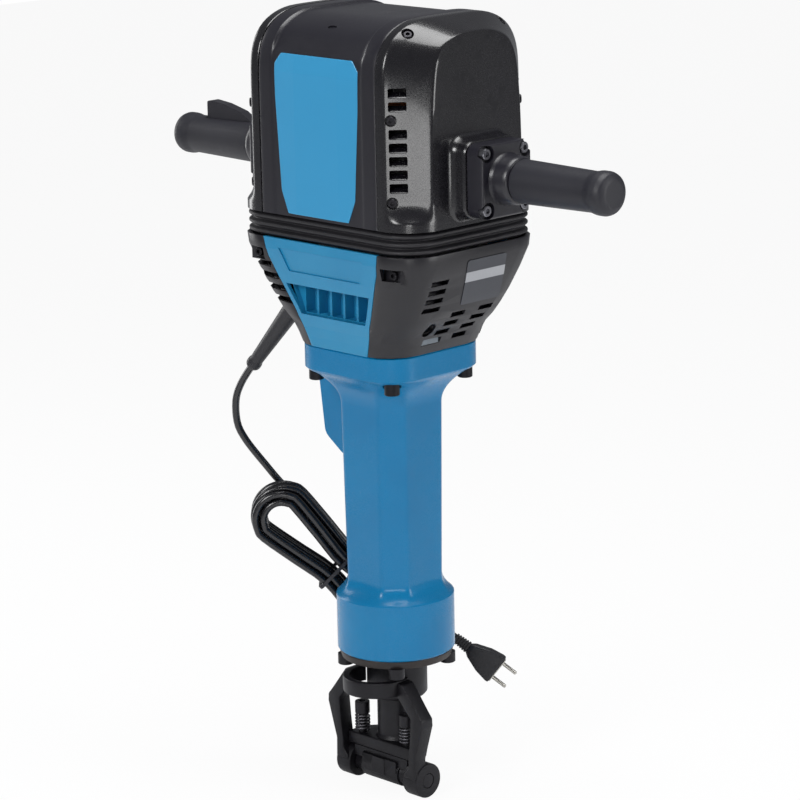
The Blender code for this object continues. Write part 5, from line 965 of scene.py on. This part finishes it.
# side cover: (X, share of the way from the casing's outer skin to the pad's edge, depth under that skin)
SIDE_COLUMNS = [(0.0848, 0.0, 0.0032), (0.0848, 0.0, 0.0012), (0.0851, 0.0, 0.0004), (0.0858, 0.0, 0.0),
    (0.089, 0.0, 0.0), (0.0925, 0.0, 0.0), (0.095, 0.006, 0.0), (0.0965, 0.022, 0.0), (0.098, 0.058, 0.0),
    (0.1005, 0.13, 0.0), (0.104, 0.232, 0.0), (0.108, 0.35, 0.0), (0.112, 0.468, 0.0),
    (0.116, 0.586, 0.0), (0.12, 0.702, 0.0), (0.1238, 0.81, 0.0), (0.1268, 0.893, 0.0),
    (0.1288, 0.95, 0.0), (0.1298, 0.984, 0.0), (0.1303, 1.01, 0.0)]
PAD_SHARES = (0.05, 0.12, 0.22, 0.34, 0.48, 0.64, 0.82, 1.0)


def side_point(row, index):
    """Point of the side cover: strip, slope and pad, drawn into the rounded foot at the bottom."""
    y_out, z_out, y_pad, z_pad = row
    sign = -1.0 if y_out < 0 else 1.0
    crown = 0.0012 * max(0.0, (z_out - ARCH_FOOT) / 0.059)
    if index < len(SIDE_COLUMNS):
        x, share, depth = SIDE_COLUMNS[index]
        y_skin, z_skin = pushed_in(row, depth)
        y, z = y_skin + (y_pad - y_skin) * share, z_skin + (z_pad - z_skin) * share
        x -= crown * min(1.0, share)
    else:
        share = PAD_SHARES[index - len(SIDE_COLUMNS)]
        x = 0.1304 - crown * (1.0 - share)
        y, z = y_pad * (1.0 - share), z_pad + (min(z_pad, 0.7) - z_pad) * share
    if z_out < 0.626:
        full = foot_share(z_out)
        corner_x, corner_y = foot_point(index)
        x += (corner_x - x) * full
        y += (sign * corner_y - y) * full
    return Vector((x, y, z))


def foot_share(z):
    """1 in the rounded foot over the bellows, 0 where the slope begins; a scoop between them."""
    if z <= 0.5986:
        return 1.0
    drop = min(1.0, (z - 0.5986) / 0.0215)
    return (1.0 - drop) ** 2.6


def foot_point(index):
    """Point of the foot's rounded outline that belongs to a column."""
    half_x, last, straight = 0.1308, len(SIDE_COLUMNS) - 1, 5
    if index > last:
        return half_x, (CASING_Y - FOOT_CORNER) * (1.0 - PAD_SHARES[index - last - 1])
    x, _, depth = SIDE_COLUMNS[index]
    if index <= straight:
        return x, CASING_Y - depth
    angle = math.radians(90.0) * (index - straight) / (last - straight)
    return (half_x - FOOT_CORNER + FOOT_CORNER * math.sin(angle),
            CASING_Y - FOOT_CORNER + FOOT_CORNER * math.cos(angle))


VENTS = [0.728 - 0.0135 * number - (0.014 if number > 1 else 0.0) for number in range(7)]
CASING_SCREWS = [
    ((0.1022, -0.0938, 0.701), (0.62, -0.78, 0.0)), ((0.1022, -0.0938, 0.6185), (0.62, -0.78, 0.0)),
    ((0.101, -0.0665, 0.7835), (0.45, -0.42, 0.79))]


def both_slopes(bm):
    """The parts of the front slope, and the same on the rear slope."""
    return joined(bm.copy(), mirrored(bm, "Y"))


def side_cover(side):
    """Glossy side cover: strip at the seam, vented slope, flat pad and the raised land under the bracket."""
    count = len(SIDE_COLUMNS) + len(PAD_SHARES) - 1
    bm = lofted(whole_arch(), count, side_point, closed=False)
    bmesh.ops.remove_doubles(bm, verts=bm.verts, dist=2e-6)
    outward_solid(bm, 0.0032)
    land = grown(0.0375, 0.0395, 0.013, mm((129, 8.5), (130, 6), (131.6, 3.8),
        (134.5, 2.1), (139, 1), (145, 0.4), (147.7, 0), (148.7, -0.5),
        (149.05, -1.5)))
    bm = carved(bm, box_skin(land, 8, on_bracket), operation="UNION")
    slots, pits = [], []
    turn = Matrix.Rotation(math.radians(44.5), 3, "Z")
    for z in VENTS:
        slot = softened(block((-0.0092, -0.014, -0.005), (0.0092, 0.014, 0.005)), 0.0016, 3, 40.0)
        slots.append(moved(slot, (0.1072, -0.0893, z), turn))
    for seat, aim in CASING_SCREWS:
        pit = turned(mm((0, -3.5), (5.4, -3.5), (6.2, 0), (7.5, 12), (0, 12)), 32)
        pits.append(aimed(pit, seat, aim))
    bm = on_side(carved(bm, both_slopes(joined(*slots)), both_slopes(joined(*pits))), side)
    name = SIDES[side]
    skin(f"side_cover_{name}", bm, "gloss_black", crease=26.0)
    blades, heads = [], []
    for z in VENTS:
        blade = softened(block((-0.0096, -0.005, -0.0008), (0.0096, 0.004, 0.0008)), 0.0004, 2, 40.0)
        lean = Matrix.Rotation(math.radians(34.0), 3, "X")
        blades.append(moved(moved(blade, (0, 0, 0), lean), (0.1027, -0.0848, z - 0.0024), turn))
    for seat, aim in CASING_SCREWS:
        head = screw_head(0.0047, 0.0046, 0.0024, 0.0024)
        heads.append(aimed(head, Vector(seat) - Vector(aim) * 0.0036, aim))
    for label, parts, finish in (("louvres", blades, "gloss_black"), ("casing_screws", heads, "screw_black")):
        piece(f"{label}_{name}", on_side(both_slopes(joined(*parts)), side), finish, "handle_frame")


def upper_casing():
    """Everything that rides on the handle frame except the handles."""
    centre_band()
    for side in (-1, 1):
        panel(side)
    for side in SIDES:
        side_cover(side)


# ---------------------------------------------------------------- handles
def along_handle(bm):
    """Lays a piece that was turned about Z along the right-hand handle's axis."""
    return aimed(bm, (0.0, 0.0, HANDLE_Z), (1, 0, 0))


def bracket(side):
    """Handle bracket: thick plate with counterbored bolts and a neck round the handle tube."""
    plate = grown(0.0355, 0.0375, 0.0105, mm((149.3, -0.6), (149.8, 0), (168.5, 0), (169.6, -0.3),
        (170.3, -1), (170.5, -1.8)))
    profile = eased(mm((16.3, 160), (27.8, 160), (27.8, 169), (25.5, 173.5), (24.7, 187.8),
        (23, 191.8), (16.3, 191.8)), 0.0022)
    neck = along_handle(hoop(profile, 72))
    bore = along_handle(turned([(0.0, 0.1548), (TUBE_R, 0.1548), (TUBE_R, 0.2), (0.0, 0.2)], 48))
    spots = [(y, BRACKET_Z + up) for y in (-0.0275, 0.0275) for up in (-0.0285, 0.0285)]
    seat_x = 0.1635
    pit = [(0.0, seat_x), (0.0082, seat_x), (0.0088, 0.1706), (0.0088, 0.18), (0.0, 0.18)]
    pits = [aimed(turned(pit, 32), (0, y, z), (1, 0, 0)) for y, z in spots]
    bm = carved(carved(box_skin(plate, 8, on_bracket), neck, operation="UNION"), bore, joined(*pits))
    name = SIDES[side]
    piece(f"bracket_{name}_skin", on_side(bm, side), "satin_black", "handle_frame",
        (f"handle_bracket_{name}",))
    screws(f"bracket_bolts_{name}", [((side * seat_x, y, z), (side, 0, 0)) for y, z in spots], "screw_steel",
           "handle_frame", 0.0058, 0.0062, 0.0029)


def grip(side):
    """Rubber grip; the left one has a slot for the trigger lever."""
    profile = eased(mm((0, 312.5), (14.2, 312.5), (20.2, 309.5), (22.2, 304.5), (22.2, 296.5),
        (20.5, 288.5), (21, 262.1), (22.1, 204.1), (22.2, 193), (21.4, 192.2),
        (16.3, 192.2), (16.3, 305), (0, 305)), 0.0018)
    bm = on_side(along_handle(turned(profile, 72)), side)
    if side < 0:
        bm = carved(bm, block((-0.2725, -0.0061, 0.6392), (-0.196, 0.0061, 0.7)))
    skin(f"grip_{SIDES[side]}", bm, "grip_rubber")


def lever():
    """Trigger lever with its hinge pin."""
    outline = eased(mm((-234, 651), (-200, 651), (-200, 659.5), (-216, 669), (-242, 675.2),
        (-263.5, 677.5), (-269.5, 676.2), (-269.5, 651), (-234, 651)), 0.0022, 3)[:-1]
    blade = softened(slab(outline, -0.0055, 0.0055), 0.001, 2, 40.0)
    pin = aimed(turned(mm((0, -10.5), (2, -10.5), (2, 10.5), (0, 10.5)), 20),
        (-0.204, 0.0, 0.6555), (0, 1, 0))
    skin("trigger_lever", joined(blade, pin), "satin_black")


# ---------------------------------------------------------------- cord
VIEW = math.radians(45.2)
RIGHT = Vector((math.cos(VIEW), math.sin(VIEW), 0.0))
BEHIND = Vector((-math.sin(VIEW), math.cos(VIEW), 0.0))
GUARD_START = Vector((-0.082, -0.04, 0.499))
GUARD_END = Vector((-0.1723, -0.04, 0.4013))
TILT = math.radians(-44.6)
HANK = {"side": -0.062, "height": 0.1775, "depth": 0.0705, "half": 0.083, "inner": 0.0165, "step": 0.0089,
        "layers": 4, "pinch": 0.0112}


def seen(side, height, depth):
    """A point given as the photograph shows it: right of the axis, up, and behind the axis."""
    return RIGHT * side + BEHIND * depth + Vector((0.0, 0.0, height))


def on_hank(along, across, depth):
    """A point of the hank, given along its long axis, across it and behind the tool's axis."""
    side = HANK["side"] + along * math.cos(TILT) - across * math.sin(TILT)
    height = HANK["height"] + along * math.sin(TILT) + across * math.cos(TILT)
    return seen(side, height, depth)


def hank_spot(turns):
    """The cord's place after so many turns of the hank, which is wound outwards and back in layers."""
    layer = int(min(turns // 2, HANK["layers"] - 1))
    within = turns - layer * 2
    wound = 2 - within if layer % 2 == 0 else within
    radius = HANK["inner"] + HANK["step"] * wound
    share = turns % 1.0
    bend = 1.0 / 3.0
    run = 0.5 - bend
    turn = share % 0.5
    sign = 1.0 if share < 0.5 else -1.0
    if turn < run:
        along, across = HANK["half"] * (1.0 - 2.0 * turn / run), radius
        across -= HANK["pinch"] * math.cos(math.pi * along / (2 * HANK["half"])) ** 2
    else:
        angle = math.pi * (turn - run) / bend
        along, across = -HANK["half"] - radius * math.sin(angle), radius * math.cos(angle)
    climbed = sum(min(1.0, max(0.0, 0.5 + (turns - change * 2) / 0.5)) for change in range(1, HANK["layers"]))
    return on_hank(sign * along, sign * across, HANK["depth"] + HANK["step"] * (HANK["layers"] - 1 - climbed))


def run_through(start, start_aim, spots, end, end_aim, spacing):
    """Points along a smooth curve through the spots, with a straight length at each end."""
    knots = [start, start + start_aim * 0.009, *spots, end - end_aim * 0.009, end]
    dense = smooth_run(knots, 20)
    lengths = np.cumsum([0.0] + [(q - p).length for p, q in zip(dense, dense[1:])])
    table = np.array([tuple(point) for point in dense])
    stations = np.linspace(0.0, lengths[-1], max(2, round(lengths[-1] / spacing)) + 1)
    middle = [Vector([float(np.interp(s, lengths, table[:, axis])) for axis in range(3)]) for s in stations]
    return [start, *middle, end]


LEAD_ROUTE = mm((-161, 383, 105), (-168.6, 362, 111), (-166, 326, 112.5),
    (-134.5, 280, 112.5), (-112.4, 253.4, 112.5), (-77, 215, 112.5),
    (-52.5, 180, 112.5), (-39, 140, 112.5))
TAIL_ROUTE = mm((26, 98.5, 73), (37, 103, 75), (48, 103.8, 77))
PLUG_START = seen(0.0645, 0.0945, 0.0785)
PLUG_END = seen(0.1095, 0.059, 0.0715)
PLUG_AIM = (PLUG_END - PLUG_START).normalized()


def plug():
    """Plug body with its ribbed bend guard, and the two pins on their small face."""
    wide = BEHIND.cross(PLUG_AIM).normalized()
    turn = Matrix((wide, PLUG_AIM.cross(wide), PLUG_AIM)).transposed()
    length = (PLUG_END - PLUG_START).length
    levels = []
    for ring in range(6):
        base = 0.0031 * ring
        grow = 0.0002 * ring
        levels += [(base, 0.0043 + grow, 0.004, 0.003), (base + 0.0004, 0.0055 + grow, 0.0049, 0.0036),
            (base + 0.0021, 0.0055 + grow, 0.0049, 0.0036), (base + 0.0025, 0.0043 + grow, 0.004, 0.003)]
    levels += [(0.0192, 0.006, 0.0054, 0.0036), (0.023, 0.0085, 0.0064, 0.003),
        (length - 0.0185, 0.0143, 0.0068, 0.0024), (length - 0.015, 0.015, 0.0067, 0.0022),
        (length - 0.0035, 0.0169, 0.0067, 0.002), (length - 0.0008, 0.0167, 0.0064, 0.002),
        (length, 0.0158, 0.0058, 0.0018)]

    bm = moved(box_skin(levels, 5, across_z), PLUG_START, turn)
    shell = piece("plug_skin", bm, "guard_rubber", body_of("plug_body"), ("plug_body",))
    parts = [box_skin([(0.0003, 0.0149, 0.005, 0.0018), (0.0012, 0.0145, 0.0047, 0.0018)], 5, across_z)]
    for side in (-1, 1):
        pin = turned(eased(mm((0, 0), (2.1, 0), (2.1, 18.5), (1.2, 19.5), (0, 19.5)),
            0.0006), 24)
        parts.append(moved(pin, (side * 0.0095, 0.0, 0.0)))
    pins = moved(joined(*parts), PLUG_END, turn)
    return shell, skin("plug_pins", pins, "nickel")


def cord():
    """The lead from its guard through the hank to the plug, as one curve with its tie."""
    aim = (GUARD_END - GUARD_START).normalized()
    length = (GUARD_END - GUARD_START).length
    guard = [(0.0, 0.0), (0.0115, 0.0), (0.0115, 0.022), (0.0105, 0.03), (0.0072, length - 0.0115),
        (0.0083, length - 0.0085), (0.0083, length - 0.003), (0.0062, length), (0.0, length)]
    bm = aimed(turned(eased(guard, 0.002), 48), GUARD_START, aim)
    skin("cord_guard", bm, "guard_rubber")
    hank = [hank_spot(step / 24) for step in range(188)]
    start = GUARD_END + aim * 0.0003
    into = (hank[1] - hank[0]).normalized()
    behind = HANK["depth"] + HANK["step"] * 3
    outer = HANK["inner"] + HANK["step"] * 2
    bight = []
    for share in (0.15, 0.4, 0.65, 0.85):
        radius = outer + 0.006 * (1.0 - share)
        bight.append(on_hank(HANK["half"] + radius * math.sin(math.pi * share),
            -radius * math.cos(math.pi * share), behind + 0.014 * (1.0 - share) ** 0.7))
    lead = run_through(start, aim, [seen(*spot) for spot in LEAD_ROUTE] + bight, hank[0] - into * 0.0003,
        into, 0.018)
    outof = (hank[-1] - hank[-2]).normalized()
    tail = run_through(hank[-1] + outof * 0.0003, outof, [seen(*spot) for spot in TAIL_ROUTE],
        PLUG_START - PLUG_AIM * 0.0003, PLUG_AIM, 0.016)
    route = finer(lead[:-1] + hank + tail[1:], 3)
    run = sum((b - a).length for a, b in zip(route, route[1:]))
    thing = wound_tube("power_cord", route, 0.004, "cord_sheath", body_of("cord_lead"),
        ("cord_lead", "cord_hank", "cord_tail"), 6)
    tie = dressed_copy("cord_tie", "satin_black", 0.0003, 1, 40.0)
    plug_pieces = plug()


# ---------------------------------------------------------------- the frame's own nodes
def inner_finishes():
    """Nodes that keep their CAD shape take a finish of their own."""
    plan = {"ground_steel": ["impact_bolt", "striker", "piston", "wrist_pin", "connecting_rod", "crankshaft",
        "layshaft", "crank_bearing_1", "crank_bearing_2", "cylinder", "handle_tube_right",
        "handle_tube_left"], "winding": ["armature", "stator"], "cast_alloy": ["crank_case", "gear_cover"],
        "screw_black": ["guide_bush"], "satin_black": ["cooling_fan", "motor_housing", "trigger_switch"],
        "clear_lens": ["indicator_window"],}
    for finish, names in plan.items():
        for name in names:
            for slot in NODES[name].material_slots:
                slot.material = FINISHES[finish]


# ---------------------------------------------------------------- studio
def studio():
    """Pale floor, white surroundings and five soft boxes, placed as seen from the camera."""
    floor = Finish("studio_floor")
    straight, glossy, clear = [floor.node("ShaderNodeLightPath", out=f"Is {kind} Ray")
        for kind in ("Camera", "Glossy", "Transmission")]
    pale = floor.node("ShaderNodeBsdfDiffuse", {}, {"Color": (0.9, 0.9, 0.91, 1.0)})
    glow = floor.node("ShaderNodeEmission", {}, {"Color": (1.0, 1.0, 1.0, 1.0), "Strength": 1.0})
    share = straight * 0.93 + (glossy + clear) * 0.06
    mix = floor.node("ShaderNodeMixShader", {}, {0: share, 1: pale, 2: glow})
    floor.node("ShaderNodeOutputMaterial", {}, {"Surface": mix})
    bm = bmesh.new()
    bmesh.ops.create_grid(bm, x_segments=1, y_segments=1, size=6.0)
    ground = held(moved(bm, (0.0, 0.0, cad_box[0][2] - 0.0005)))
    ground.name = "floor"
    ground.data.materials.append(floor.material)

    world = bpy.data.worlds.new("studio")
    sky = Finish("sky", world)
    soft = sky.node("ShaderNodeBackground", {}, {"Color": (0.93, 0.95, 1.0, 1.0), "Strength": 0.19})
    white = sky.node("ShaderNodeBackground", {}, {"Color": (1.0, 1.0, 1.0, 1.0), "Strength": 1.0})
    seen_straight = sky.node("ShaderNodeLightPath", out="Is Camera Ray")
    blend = sky.node("ShaderNodeMixShader", {}, {0: seen_straight, 1: soft, 2: white})
    sky.node("ShaderNodeOutputWorld", {}, {"Surface": blend})
    bpy.context.scene.world = world

    toward = -BEHIND

    def lamp(name, side, up, near, size, power, aim=(0.0, 0.0, 0.45), tall=None):
        data = bpy.data.lights.new(name, "AREA")
        data.shape = "RECTANGLE"
        data.size = size
        data.size_y = tall or size
        data.energy = power
        thing = bpy.data.objects.new(name, data)
        place = RIGHT * side + toward * near + Vector((0.0, 0.0, up))
        thing.location = place
        thing.rotation_euler = (Vector(aim) - place).to_track_quat("-Z", "Y").to_euler()
        bpy.context.scene.collection.objects.link(thing)

    lamp("key_box", -1.6, 1.7, 1.7, 0.9, 31.0)
    lamp("side_box", 1.9, 0.9, 0.9, 0.6, 16.0, tall=1.5)
    lamp("top_box", 0.2, 2.3, 0.1, 1.2, 30.0)
    lamp("rim_box", -1.5, 0.8, -1.2, 0.6, 9.0, tall=1.4)
    lamp("front_box", -0.06, 0.46, 1.7, 0.4, 2.4, aim=(0.1, -0.08, 0.75), tall=0.3)


def camera():
    """The photograph's view, solved from the handle ends and the slopes of the casing's edges."""
    data = bpy.data.cameras.new("camera")
    data.lens = 144.0
    data.sensor_width = 36.0
    thing = bpy.data.objects.new("camera", data)
    bpy.context.scene.collection.objects.link(thing)
    rise = math.radians(13.9)
    back = -BEHIND * math.cos(rise) + Vector((0.0, 0.0, math.sin(rise)))
    up = back.cross(RIGHT)
    place = Vector((0.0, 0.0, 0.3835)) + RIGHT * 0.0091 + back * 3.365
    turn = Matrix((RIGHT, up, back)).transposed() @ Matrix.Rotation(math.radians(-1.16), 3, "Z")
    thing.matrix_world = Matrix.Translation(place) @ turn.to_4x4()
    bpy.context.scene.camera = thing


# ---------------------------------------------------------------- the whole machine
camera()
studio()
cord()
barrel()
nose()
bit_socket()
retainer()
pivot()
bellows()
suspension_springs()
lower_covers()
upper_casing()
for side in SIDES:
    bracket(side)
    grip(side)
lever()
inner_finishes()
bpy.context.scene.view_settings.view_transform = "Standard"
